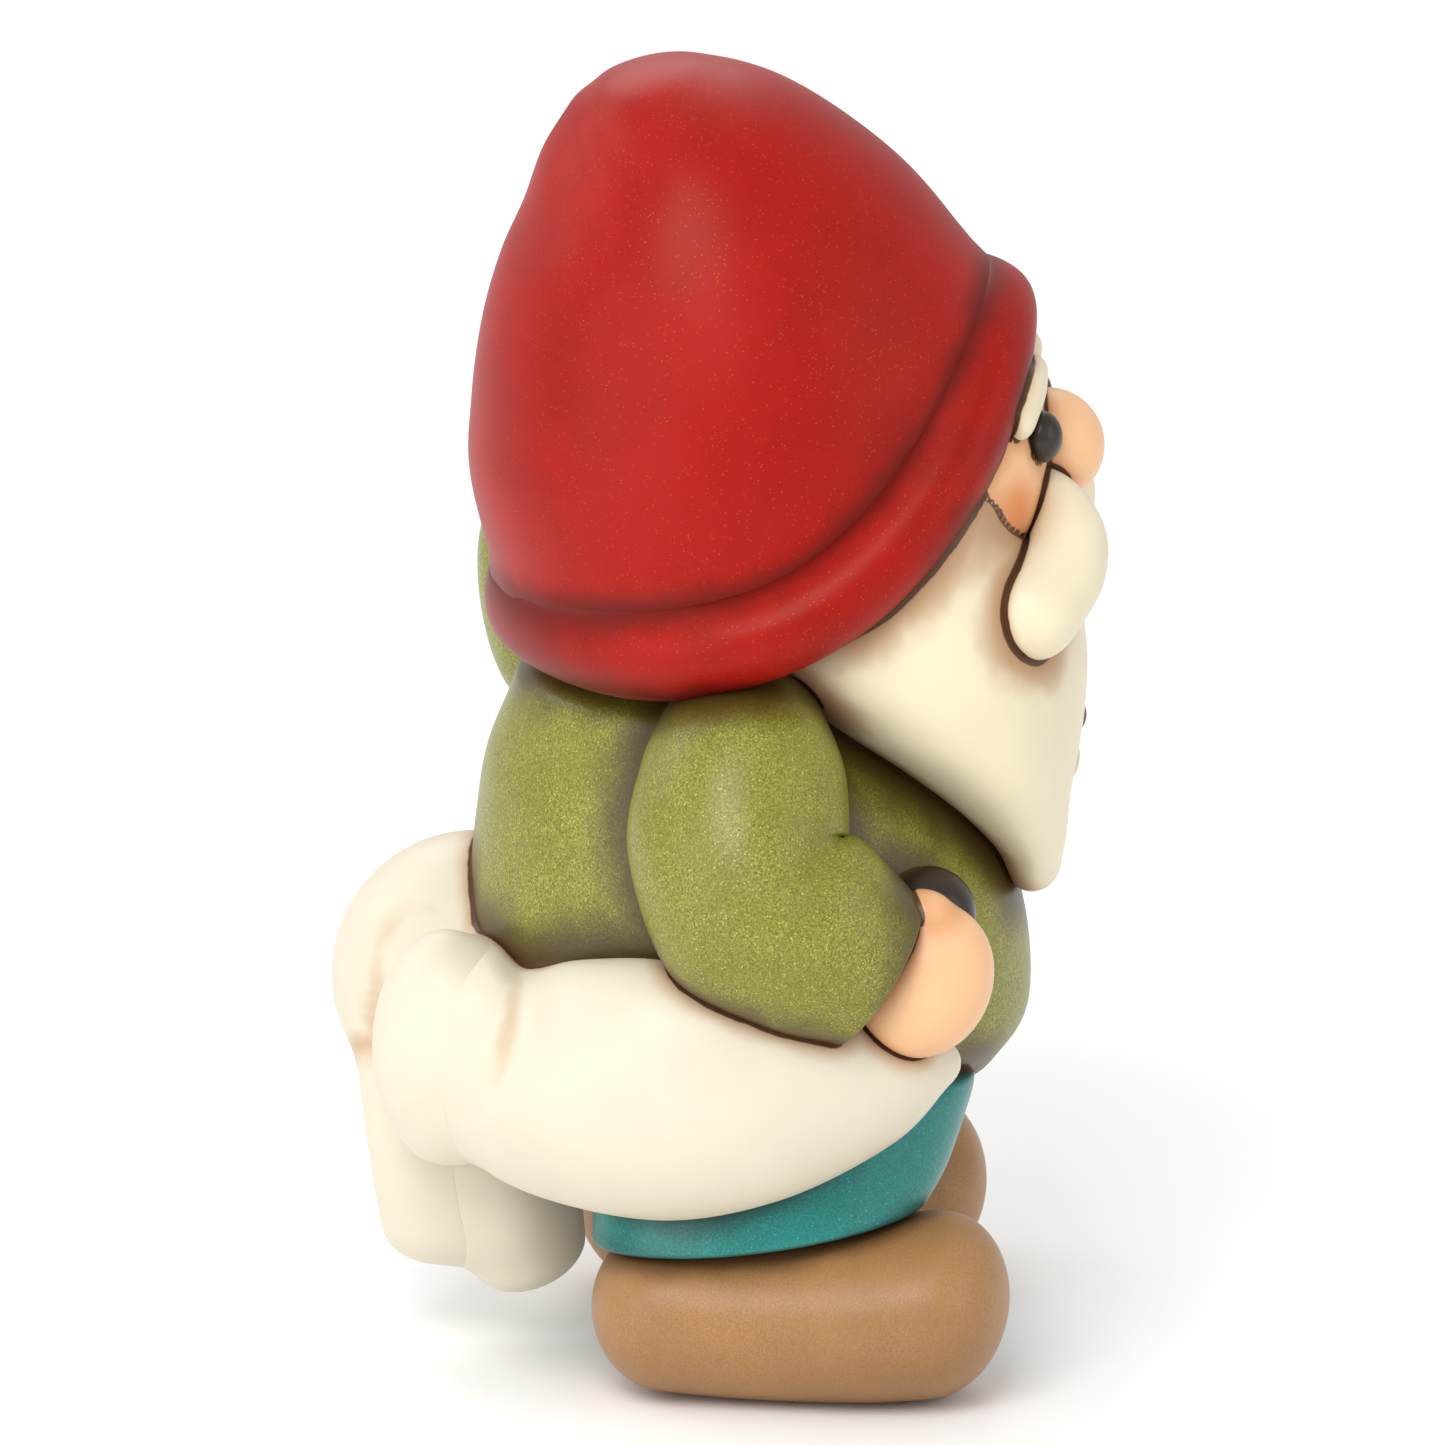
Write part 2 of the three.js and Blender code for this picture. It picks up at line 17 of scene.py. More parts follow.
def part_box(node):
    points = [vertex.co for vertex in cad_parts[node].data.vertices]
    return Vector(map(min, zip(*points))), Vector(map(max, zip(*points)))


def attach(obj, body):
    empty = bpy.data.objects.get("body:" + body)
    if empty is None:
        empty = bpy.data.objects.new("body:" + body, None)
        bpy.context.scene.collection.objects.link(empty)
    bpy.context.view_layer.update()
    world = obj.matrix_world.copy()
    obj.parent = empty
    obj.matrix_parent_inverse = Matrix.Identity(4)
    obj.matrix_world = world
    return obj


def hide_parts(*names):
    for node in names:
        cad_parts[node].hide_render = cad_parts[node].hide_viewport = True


bl_info = {
    "name": "Tomte gnome figurine",
    "version": (1, 0, 0),
    "blender": (4, 5, 0),
    "location": "View3D > Sidebar > Gnome",
    "description": "Makes the glazed ceramic looks of a gnome figurine over its packed frame",
    "category": "Object",
}

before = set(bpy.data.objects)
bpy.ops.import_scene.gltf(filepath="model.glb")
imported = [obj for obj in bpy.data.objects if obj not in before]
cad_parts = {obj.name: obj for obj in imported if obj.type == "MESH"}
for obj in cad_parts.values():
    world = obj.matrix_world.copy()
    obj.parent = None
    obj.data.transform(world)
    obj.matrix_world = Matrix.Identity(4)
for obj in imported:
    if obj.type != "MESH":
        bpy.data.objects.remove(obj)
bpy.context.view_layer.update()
MM = 0.001
GLUE = 0.3  # glue line between luted pieces
JACKET_DROP = 5  # how far the jacket's hem hangs below the top of the trousers
NECK_OVERLAP = 7  # how far the head sinks below the shoulders
ARM_DROP = 8  # how far the arms start below the shoulders
BRIM_TILT = 22.2  # how far the front of the roll rises, and the back falls
BRIM_DROOP = 16.8  # how far the roll hangs down over the ears
TEMPLE_BULGE = 6  # how much the roll is pushed forward over the temples
THUMB = 4.6  # half a thumb's thickness
TOGGLE = 7.3  # radius of the sack's toggle
BOOT_FORWARD = 11  # how far a boot's middle is in front of the body's middle
TOE_OUT = 7  # degrees that each boot turns outwards
FIST_TURN = (0.35, 0, 0)
REACH = 11.0  # how far from a join the airbrushed shading can reach
VIEW_WIDTH = 0.21675  # what the camera takes in at the figure
VIEW_HEIGHT = 0.0958  # height that the camera looks at
JOINT = (2.8, True)  # how wide kin pieces are blended, and whether the join is shaded
JOINTS = {
    frozenset(("crown", "brim")): (4.8, True),
    frozenset(("sack_wrap", "sack_pleat")): (5.0, False),
    frozenset(("sack_wrap", "sack_hump")): (3.5, False),
    frozenset(("sack_pleat", "sack_hump")): (3.6, False),
    frozenset(("sack_corner_a", "sack_corner_b")): (4.0, False),
}
MARKS = []  # creases that are shaded: the piece, the line, and how wide its dark middle is


# ---- Sizes and colours that a user can change ----


def linear(code):
    """An sRGB hex colour as linear RGB."""
    parts = [int(code[i : i + 2], 16) / 255 for i in (0, 2, 4)]
    return tuple(c / 12.92 if c <= 0.04045 else ((c + 0.055) / 1.055) ** 2.4 for c in parts)


def length(name, mm, description):
    """A length that a user can change, given in millimetres."""
    return FloatProperty(
        name=name,
        description=description,
        default=mm * MM,
        min=0.0,
        precision=5,
        subtype="DISTANCE",
        unit="LENGTH",
    )


def colour(name, code, description):
    """A colour that a user can change, given in sRGB hex."""
    return FloatVectorProperty(
        name=name,
        description=description,
        default=linear(code),
        size=3,
        min=0.0,
        max=1.0,
        subtype="COLOR",
    )


class GnomeSizes(bpy.types.PropertyGroup):
    """Sizes of the pieces, the same as the frame's."""

    stance: length("Stance", 31, "From the middle of the figure to the middle of a boot")
    boot_length: length("Boot length", 64, "Heel to toe")
    boot_width: length("Boot width", 35, "Across one boot")
    boot_height: length("Boot height", 28.5, "Sole to instep")
    leg_width: length("Leg width", 38, "Across one trouser leg")
    leg_depth: length("Leg depth", 56, "Front to back of a trouser leg")
    leg_height: length("Leg height", 18, "Trousers that show above a boot")
    leg_spread: length("Leg spread", 8, "How far a hem stands outside the top of its leg")
    jacket_depth: length("Jacket depth", 84, "Front to back")
    jacket_width: length("Jacket width", 80, "Side to side")
    jacket_height: length("Jacket height", 68, "Hem to shoulders")
    head_radius: length("Head radius", 34, "Half the head's height")
    head_forward: length("Head forward", 15.5, "How far the head leans forwards")
    beard_length: length("Beard length", 68, "Cheek to point")
    beard_width: length("Beard width", 77, "Ear to ear")
    nose_width: length("Nose width", 19, "Across the nose")
    eye_radius: length("Eye radius", 4, "Half an eye's height")
    eye_spacing: length("Eye spacing", 27, "Between the eyes' middles")
    hat_depth: length("Hat depth", 78, "Front to back across the hat's mouth")
    hat_width: length("Hat width", 82, "Side to side across the hat's mouth")
    hat_height: length("Hat height", 62.5, "Middle of the mouth to the top")
    brim_roll: length("Brim roll", 6.4, "Radius of the rolled edge")
    sleeve_radius: length("Sleeve radius", 16.5, "Half a sleeve's thickness")
    cuff_radius: length("Cuff radius", 12.8, "Half a cuff's width")
    hand_radius: length("Hand radius", 12, "Half a fist's height")
    sack_height: length("Sack height", 40, "Height of the sack's body where it is fullest")
    outline: length("Outline", 0.6, "Half the width of the brushed outlines")


class GnomeColours(bpy.types.PropertyGroup):
    """Colours of the glazes and of the painted shading."""

    hat: colour("Hat", "980A05", "Satin red glaze")
    jacket: colour("Jacket", "76741E", "Moss-green speckled glaze")
    trousers: colour("Trousers", "0E7C77", "Teal speckled glaze")
    boots: colour("Boots", "9C7247", "Tan glaze")
    sack: colour("Sack", "DAD1BC", "Cream glaze")
    beard: colour("Beard", "E4D8BA", "Ivory glaze")
    skin: colour("Skin", "EDBB8C", "Peach glaze")
    dark: colour("Dark details", "2A2017", "Brown-black glaze")
    outline: colour("Outline", "5A3A24", "Brushed outline")


# ---- Where things are ----


class Plan:
    """Sizes in millimetres, the heights that follow from them, and the frame's own shift."""

    def __init__(self, context):
        sizes = context.scene.gnome_sizes
        for name in GnomeSizes.__annotations__:
            setattr(self, name, getattr(sizes, name) / MM)
        self.leg_top = self.boot_height + self.leg_height
        self.jacket_low = self.leg_top - JACKET_DROP
        self.shoulder = self.jacket_low + self.jacket_height
        self.head_z = self.shoulder - NECK_OVERLAP + self.head_radius
        self.waist = self.jacket_low + self.jacket_height * 0.2
        self.armpit = self.jacket_width / 2
        self.arm_z = self.shoulder - ARM_DROP
        self.back = self.jacket_depth * 0.45
        self.hat_y = 10.2 - self.head_forward
        self.nose_z = self.head_z + self.head_radius * 0.06
        self.eye_z = self.head_z + self.head_radius * 0.19
        self.nose = np.array([0.0, self.face(0, self.nose_z) + 0.6, self.nose_z])
        low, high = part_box("nose")
        self.shift = np.array((low + high) / 2) / MM - self.nose

    def face(self, x, z):
        """Depth of the face's surface at a place on it."""
        wide = self.head_radius * 1.08
        inside = 1 - (x / wide) ** 2 - ((z - self.head_z) / self.head_radius) ** 2
        return -self.head_forward - self.head_radius * math.sqrt(max(inside, 0))


# ---- Forms: a form is a grid of rings of points, with a pole at either end ----


def through(points, shares):
    """Smooth path through points, at shares of its length from 0 to 1."""
    points = np.asarray(points, float)
    last = len(points) - 1
    before, after = 2 * points[:1] - points[1:2], 2 * points[-1:] - points[-2:-1]
    ends = np.concatenate([before, points, after])
    place = np.clip(shares, 0, 1) * last
    at = np.minimum(place.astype(int), last - 1)
    f = (place - at).reshape(-1, *[1] * (points.ndim - 1))
    a, b, c, d = ends[at], ends[at + 1], ends[at + 2], ends[at + 3]
    bend = (c - a) * f + (2 * a - 5 * b + 4 * c - d) * f**2 + (3 * b - a - 3 * c + d) * f**3
    return b + bend / 2


def turned(v, start, end):
    """v, carried by the shortest turn that takes direction start to direction end."""
    return np.array(Vector(start).rotation_difference(Vector(end)) @ Vector(v))


def unit(v):
    """v at a length of 1."""
    return v / np.linalg.norm(v)


def spine(points):
    """Stations along a bent spine of (x, y, z, radius, flatness)."""
    places = np.array([p[:3] for p in points], float)
    shares = np.linspace(0, 1, len(points))
    step = 1e-3
    after = through(places, np.minimum(shares + step, 1))
    along = [unit(v) for v in after - through(places, np.maximum(shares - step, 0))]
    level = np.array([0.0, 1.0, 0.0]) if abs(along[0][2]) > 0.8 else np.array([0.0, 0.0, 1.0])
    across = unit(np.cross(level, along[0]))
    before = along[0]
    stations = []
    for place, point, way in zip(places, points, along):
        across = unit(turned(across, before, way))
        before = way
        radius = point[3]
        flat = point[4] if len(point) > 4 else 1
        deep = unit(np.cross(way, across)) * radius
        stations.append((place, across * radius * flat, deep, 0.0))
    return stations


def roll(points, cap_first, cap_last, edge, soften):
    """A loft along a bent spine of (x, y, z, radius, flatness)."""
    return loft(spine(points), cap_first, cap_last, edge, soften)


def chords(rows):
    """Stations given as lines from back to front in the plane of symmetry, with a half width."""
    stations = []
    for back_y, back_z, front_y, front_z, half, *droop in rows:
        middle = np.array([0, (back_y + front_y) / 2, (back_z + front_z) / 2])
        deep = np.array([0, (front_y - back_y) / 2, (front_z - back_z) / 2])
        stations.append((middle, np.array([half, 0, 0.0]), deep, droop[0] if droop else 0.0))
    return stations


def loft(stations, cap_first, cap_last, edge=0.9, soften=(12, 12)):
    """Rings along the stations with a round cap at either end, evened along their length."""
    middles, across, deep = (np.array([s[i] for s in stations]) for i in range(3))
    droop = np.array([s[3] for s in stations])
    rough = np.linspace(0, 1, 80)
    lines = through(middles, rough)[:, None] + np.stack(
        [through(deep, rough), -through(deep, rough), through(across, rough)], axis=1
    )
    long = np.linalg.norm(np.diff(lines, axis=0), axis=2).sum(axis=0).max()
    shares = np.linspace(0, 1, max(int(long / edge), 8))
    mid, acr, dep = through(middles, shares), through(across, shares), through(deep, shares)
    sag = through(droop, shares)
    widest = max(np.linalg.norm(across, axis=1).max(), np.linalg.norm(deep, axis=1).max())
    sides = max(int(2 * math.pi * widest / edge / 4) * 4, 16)

    def cap(middle, out, reach, a, d, fall):
        wide = max(np.linalg.norm(a), np.linalg.norm(d))
        count = max(int((wide + reach) / edge * 0.8), 5)
        turns = np.linspace(0, math.pi / 2, count + 1)[1:]
        shrink = np.cos(turns)[:, None]
        sagging = np.full(count, fall)
        return middle + out * reach * np.sin(turns)[:, None], a * shrink, d * shrink, sagging

    first = cap(mid[0], unit(mid[0] - mid[1]), cap_first, acr[0], dep[0], sag[0])
    last = cap(mid[-1], unit(mid[-1] - mid[-2]), cap_last, acr[-1], dep[-1], sag[-1])
    parts = zip([v[::-1] for v in first], (mid, acr, dep, sag), last)
    mid, acr, dep, sag = (np.concatenate(part) for part in parts)
    turns = np.linspace(0, 2 * math.pi, sides, endpoint=False)
    grid = (
        mid[:, None]
        + acr[:, None] * np.cos(turns)[None, :, None]
        + dep[:, None] * np.sin(turns)[None, :, None]
    )
    grid[:, :, 2] -= sag[:, None] * np.cos(turns)[None, :] ** 2
    for corner, rounds in zip((len(first[0]), len(grid) - len(last[0])), soften):
        grid = evened(grid, rounds, corner, widest / edge / 2)
    return grid


def evened(grid, rounds, corner, spread):
    """The grid smoothed along its length, most near the corner where a cap begins."""
    share = np.maximum(1 - np.abs(np.arange(len(grid)) - corner) / spread, 0.05)
    share = share[1:-1, None, None] / 2
    for _ in range(rounds):
        middle = (grid[:-2] + grid[2:]) / 2
        grid[1:-1] += (middle - grid[1:-1]) * share
    return grid


def egg(middle, radii, turn=(0, 0, 0), edge=0.6):
    """An ellipsoid's grid, with its poles on its own Z, turned about X, Y and Z."""
    rings = max(int(math.pi * max(radii) / edge), 12)
    sides = max(int(2 * math.pi * max(radii[:2]) / edge / 4) * 4, 16)
    high = np.linspace(-math.pi / 2, math.pi / 2, rings)[:, None]
    round_ = np.linspace(0, 2 * math.pi, sides, endpoint=False)[None]
    grid = np.stack(
        [np.cos(high) * np.cos(round_), np.cos(high) * np.sin(round_), np.sin(high) + 0 * round_],
        axis=2,
    )
    grid *= np.array(radii)
    for axis, angle in enumerate(turn):
        a, b = [(1, 2), (2, 0), (0, 1)][axis]
        first, second = grid[:, :, a].copy(), grid[:, :, b].copy()
        grid[:, :, a] = first * math.cos(angle) - second * math.sin(angle)
        grid[:, :, b] = first * math.sin(angle) + second * math.cos(angle)
    return grid + np.array(middle)


def pushed(grid, middle, reach, height):
    """The grid with a soft bump about a place, away from the grid's own middle."""
    near = np.exp(-((np.linalg.norm(grid - middle, axis=2) / reach) ** 2))
    out = grid - grid.reshape(-1, 3).mean(axis=0)
    out = out / np.maximum(np.linalg.norm(out, axis=2, keepdims=True), 1e-9)
    return grid + out * (near * height)[:, :, None]


def creased(grid, points, width, depth, last=0.15):
    """The grid pressed in, towards its rings' middles, along a line on one side of the figure."""
    line = through(points, np.linspace(0, 1, 40))
    fade = np.linspace(1, last, 40)
    side = -1 if line[0, 0] < 0 else 1
    moved = grid.copy()
    for ring in moved:
        away = beside(ring, line)
        nearest = away.argmin(axis=1)
        gap = away[np.arange(len(nearest)), nearest]
        amount = depth * fade[nearest] * np.exp(-((gap / width) ** 2))
        amount *= ring[:, 0] * side > 0
        inwards = ring.mean(axis=0) - ring
        inwards /= np.maximum(np.linalg.norm(inwards, axis=1, keepdims=True), 1e-9)
        ring += inwards * amount[:, None]
    return moved


def beside(spots, line):
    """Distances from spots to a line's points, counting steps sideways (along X) much less."""
    offset = spots[:, None] - line[None]
    return np.linalg.norm(offset * [0.12, 1, 1], axis=2)


def solid(plan, name, grid, family, glaze):
    """A closed mesh object from a grid, in the frame, riding on the figure's only body."""
    rings, sides = grid.shape[:2]
    points = np.vstack([grid[0, :1], grid[1:-1].reshape(-1, 3), grid[-1, :1]])
    points = (points + plan.shift) * MM
    inner = rings - 2
    index = 1 + np.arange(inner * sides).reshape(inner, sides)
    after = np.roll(index, -1, axis=1)
    quads = np.stack([index[:-1], after[:-1], after[1:], index[1:]], axis=2).reshape(-1, 4)
    end = len(points) - 1
    faces = quads.tolist()
    faces += [(0, b, a) for a, b in zip(index[0].tolist(), after[0].tolist())]
    faces += [(end, a, b) for a, b in zip(index[-1].tolist(), after[-1].tolist())]
    mesh = bpy.data.meshes.new(name)
    mesh.from_pydata(points.tolist(), [], faces)
    return finished(name, mesh, family, glaze)


def finished(name, mesh, family, glaze):
    """Turns a closed mesh's faces outwards, shades it smooth and hooks it to the frame."""
    mesh.calc_loop_triangles()
    spots = np.empty(len(mesh.vertices) * 3)
    mesh.vertices.foreach_get("co", spots)
    spots = spots.reshape(-1, 3)
    corners = np.empty(len(mesh.loop_triangles) * 3, int)
    mesh.loop_triangles.foreach_get("vertices", corners)
    a, b, c = (spots[corners.reshape(-1, 3)[:, i]] for i in range(3))
    volume = np.einsum("ij,ij->i", a, np.cross(b, c)).sum()
    if volume < 0:
        mesh.flip_normals()
    mesh.polygons.foreach_set("use_smooth", np.ones(len(mesh.polygons), bool))
    piece = bpy.data.objects.new(name, mesh)
    bpy.context.scene.collection.objects.link(piece)
    piece["family"] = family
    mesh.materials.clear()
    mesh.materials.append(bpy.data.materials[glaze])
    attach(piece, "root")
    return piece


# ---- Glazes ----


def add(tree, kind, settings=None, **links):
    """Adds a node with its settings, and links or sets its inputs by name or number."""
    node = tree.nodes.new(kind)
    for key, value in (settings or {}).items():
        setattr(node, key, value)
    for key, value in links.items():
        socket = node.inputs[int(key[1:])] if key[0] == "n" and key[1:].isdigit() else None
        socket = socket or node.inputs[key.replace("_", " ")]
        if isinstance(value, bpy.types.NodeSocket):
            tree.links.new(value, socket)
        else:
            socket.default_value = value
    return node


class Glaze:
    """One fired glaze: its body colour, its shading at joins, its flecks and its gloss."""

    def __init__(self, name, base, shade, line=1.0, reach=5.0, depth=0.75, uneven=0.12):
        self.material = bpy.data.materials.new(name)
        self.material.use_nodes = True
        self.tree = self.material.node_tree
        self.tree.nodes.clear()
        self.out = add(self.tree, "ShaderNodeOutputMaterial")
        self.at = add(self.tree, "ShaderNodeTexCoord").outputs["Object"]
        self.colour = self.clouded(base, uneven)
        self.shading = (shade, reach, depth)
        self.line = line

    def grain(self, mm, detail=2.0, rough=0.5):
        """Noise whose grains are about this many millimetres across."""
        settings = {"Scale": 1 / (mm * MM), "Detail": detail, "Roughness": rough}
        return add(self.tree, "ShaderNodeTexNoise", n0=self.at, **settings).outputs[0]

    def mix(self, factor, first, second):
        """The first colour turned into the second one by a factor."""
        node = add(self.tree, "ShaderNodeMix", {"data_type": "RGBA"})
        for slot, value in ((0, factor), (6, first), (7, second)):
            socket = node.inputs[slot]
            if isinstance(value, bpy.types.NodeSocket):
                self.tree.links.new(value, socket)
            elif socket.type == "RGBA":
                socket.default_value = (*value, 1)
            else:
                socket.default_value = value
        return node.outputs[2]

    def ramp(self, value, low, high, start=0.0, end=1.0, kind="SMOOTHSTEP"):
        """A value carried from one range to another, and held at its ends."""
        node = add(
            self.tree,
            "ShaderNodeMapRange",
            {"interpolation_type": kind},
            Value=value,
            From_Min=low,
            From_Max=high,
            To_Min=start,
            To_Max=end,
        )
        return node.outputs[0]

    def sum(self, first, second, kind="ADD"):
        """Two values added, or put together in another way."""
        return add(self.tree, "ShaderNodeMath", {"operation": kind}, n0=first, n1=second).outputs[0]

    def clouded(self, base, uneven):
        """The body colour, a little lighter and darker in clouds, as a sprayed glaze lies."""
        cloud = self.ramp(self.grain(16, 3.0), 0.3, 0.7)
        dark = tuple(c * (1 - uneven) for c in base)
        light = tuple(min(c * (1 + uneven / 2), 1) for c in base)
        return self.mix(cloud, dark, light)

    def join(self, name):
        """How many millimetres away a join is, as stored on the mesh."""
        return add(self.tree, "ShaderNodeAttribute", {"attribute_name": name}).outputs["Fac"]

    def shade(self, tone, reach, depth):
        """Airbrushed shading that gathers in the joins, with a soft uneven edge."""
        uneven = self.ramp(self.grain(7, 2.0), 0.25, 0.75, 0.75, 1.3, "LINEAR")
        far = self.sum(self.join("fold"), uneven, "DIVIDE")
        near = self.ramp(far, 0.0, reach, depth, 0.0, "SMOOTHERSTEP")
        self.colour = self.mix(near, self.colour, tone)

    def flecks(self, mm, share, tone, strength=0.6):
        """Specks in the glaze: a share of tiny cells in another tone."""
        cells = add(self.tree, "ShaderNodeTexVoronoi", n0=self.at, Scale=1 / (mm * MM))
        parts = add(self.tree, "ShaderNodeSeparateColor", n0=cells.outputs["Color"]).outputs
        chosen = self.ramp(parts[0], 1 - share, 1 - share + 0.03)
        inside = self.ramp(cells.outputs["Distance"], 0.5, 0.25)
        spot = self.sum(self.sum(chosen, inside, "MULTIPLY"), strength, "MULTIPLY")
        self.colour = self.mix(spot, self.colour, tone)
        return spot

    def speckle(self, mm, dark, light, strength):
        """A dense fine grain of a darker and a lighter tone, as a reactive glaze breaks into."""
        grain = self.ramp(self.grain(mm, 3.0, 0.7), 0.36, 0.64)
        tone = self.mix(grain, dark, light)
        patchy = self.ramp(self.grain(9, 2.0), 0.3, 0.7, strength * 0.6, strength)
        self.colour = self.mix(patchy, self.colour, tone)

    def finish(self, outline, roughness, coat, bump_mm=0.02, metal=None, coat_rough=0.28, gleam=(1, 1, 1)):
        """Sprays the joins, brushes the outline on, and gives the glaze its gloss and ripple."""
        self.shade(*self.shading)
        if self.line:
            wobble = self.ramp(self.grain(2.5, 2.0), 0.2, 0.8, -0.16, 0.16, "LINEAR")
            edge = self.sum(self.join("line"), wobble)
            half = bpy.context.scene.gnome_sizes.outline / MM * self.line
            stroke = self.ramp(edge, half + 0.16, half - 0.1)
            self.colour = self.mix(stroke, self.colour, outline)
        ripple = self.sum(self.grain(5, 1.0), self.sum(self.grain(0.7, 1.0), 0.12, "MULTIPLY"))
        bump = add(self.tree, "ShaderNodeBump", Height=ripple, Strength=0.6, Distance=bump_mm * MM)
        shader = add(
            self.tree,
            "ShaderNodeBsdfPrincipled",
            Base_Color=self.colour,
            Roughness=roughness,
            IOR=1.5,
            Coat_Weight=coat,
            Coat_Roughness=coat_rough,
            Coat_IOR=1.5,
            Specular_Tint=(*gleam, 1),
            Specular_IOR_Level=0.35,
            Normal=bump.outputs[0],
        )
        if metal is not None:
            self.tree.links.new(metal, shader.inputs["Metallic"])
        self.tree.links.new(shader.outputs[0], self.out.inputs[0])


def cheek_blush(glaze, plan, tone):
    """Orange sprayed on both cheeks, below and outside the eyes."""
    for side in (-1, 1):
        x = side * (plan.eye_spacing / 2 + 8)
        z = plan.eye_z - 9
        spot = (np.array([x, plan.face(x, z), z]) + plan.shift) * MM
        away = add(glaze.tree, "ShaderNodeVectorMath", {"operation": "DISTANCE"}, n0=glaze.at)
        away.inputs[1].default_value = spot
        near = glaze.ramp(away.outputs["Value"], 0.0, 8 * MM, 0.85, 0.0, "SMOOTHERSTEP")
        glaze.colour = glaze.mix(near, glaze.colour, tone)


class GNOME_OT_glazes(bpy.types.Operator):
    """Mixes the glazes that the pieces are dipped and sprayed in"""

    bl_idname = "gnome.glazes"
    bl_label = "Glazes"

    def execute(self, context):
        tones = context.scene.gnome_colours
        plan = Plan(context)
        outline = tuple(tones.outline)
        # Satin red glaze with gold mica: the mica glints only where a soft light is mirrored.
        red = Glaze("satin_red_glaze", tuple(tones.hat), linear("5E0806"), 0.6, 5.2, 0.95)
        mica = red.flecks(0.26, 0.06, linear("C9702C"), 0.5)
        metal = red.sum(mica, 0.9, "MULTIPLY")
        red.finish(outline, 0.48, 0.1, 0.03, metal, gleam=(1, 0.42, 0.3))
        # Moss-green reactive glaze: it breaks into a dense yellow-green speckle as it cools.
        green = Glaze("speckled_moss_glaze", tuple(tones.jacket), linear("43300F"), 0.9, 11.0, 0.95)
        green.speckle(0.34, linear("55560F"), linear("A3A23E"), 0.75)
        green.flecks(0.32, 0.12, linear("D6D37A"), 0.6)
        green.finish(outline, 0.42, 0.25, 0.03)
        # Teal reactive glaze, with a finer and quieter speckle.
        teal = Glaze("speckled_teal_glaze", tuple(tones.trousers), linear("0A2B2A"), 0.9, 5.0, 0.8)
        teal.speckle(0.34, linear("0A5A57"), linear("1F958C"), 0.6)
        teal.flecks(0.32, 0.08, linear("5FC0B2"), 0.5)
        teal.finish(outline, 0.36, 0.35, 0.03)
        # Tan satin glaze over a grogged clay: faint darker specks, browner where it pools.
        tan = Glaze("tan_satin_glaze", tuple(tones.boots), linear("4F3018"), 0.9, 4.5, 0.7)
        tan.speckle(0.3, linear("8F6539"), linear("B98B58"), 0.45)
        tan.finish(outline, 0.45, 0.15, 0.03)
        # Cream satin glaze: even and soft, with brown blown into the folds.
        cream = Glaze("cream_satin_glaze", tuple(tones.sack), linear("B98A57"), 0.85, 3.6, 0.62, 0.03)
        cream.finish(outline, 0.45, 0.15, 0.015)
        # Ivory satin glaze of the beard, browner at its joins.
        ivory = Glaze("ivory_satin_glaze", tuple(tones.beard), linear("A06A38"), 1.35, 8.0, 0.8, 0.03)
        ivory.finish(outline, 0.45, 0.15, 0.015)
        # The same ivory on the moustache, the brows and the tuft, hardly shaded.
        plain = Glaze("ivory_plain_glaze", tuple(tones.beard), linear("B58450"), 1.1, 2.2, 0.45, 0.03)
        plain.finish(outline, 0.45, 0.15, 0.015)
        # Peach satin glaze of the hands and the nose.
        peach = Glaze("peach_satin_glaze", tuple(tones.skin), linear("D08A55"), 0.9, 3.5, 0.55, 0.03)
        peach.finish(outline, 0.42, 0.2, 0.012)
        # The same peach on the face, with orange blown on the cheeks.
        face = Glaze("peach_blush_glaze", tuple(tones.skin), linear("D08A55"), 0.9, 3.5, 0.5, 0.03)
        cheek_blush(face, plan, linear("E07F3F"))
        face.finish(outline, 0.42, 0.2, 0.012)
        # Brown-black glossy glaze: thick and smooth, so it mirrors the lights in small soft spots.
        black = Glaze("glossy_black_glaze", tuple(tones.dark), linear("120C08"), 0.0, 2.0, 0.5)
        black.finish(outline, 0.36, 0.25, 0.01, coat_rough=0.15)
        return {"FINISHED"}


# ---- Pieces ----


class PieceOperator:
    """What every piece's operator does: it makes its solids from the plan."""

    bl_options = {"REGISTER", "UNDO"}

    def execute(self, context):
        if "satin_red_glaze" not in bpy.data.materials:
            raise RuntimeError("mix the glazes first")
        self.make(Plan(context))
        return {"FINISHED"}


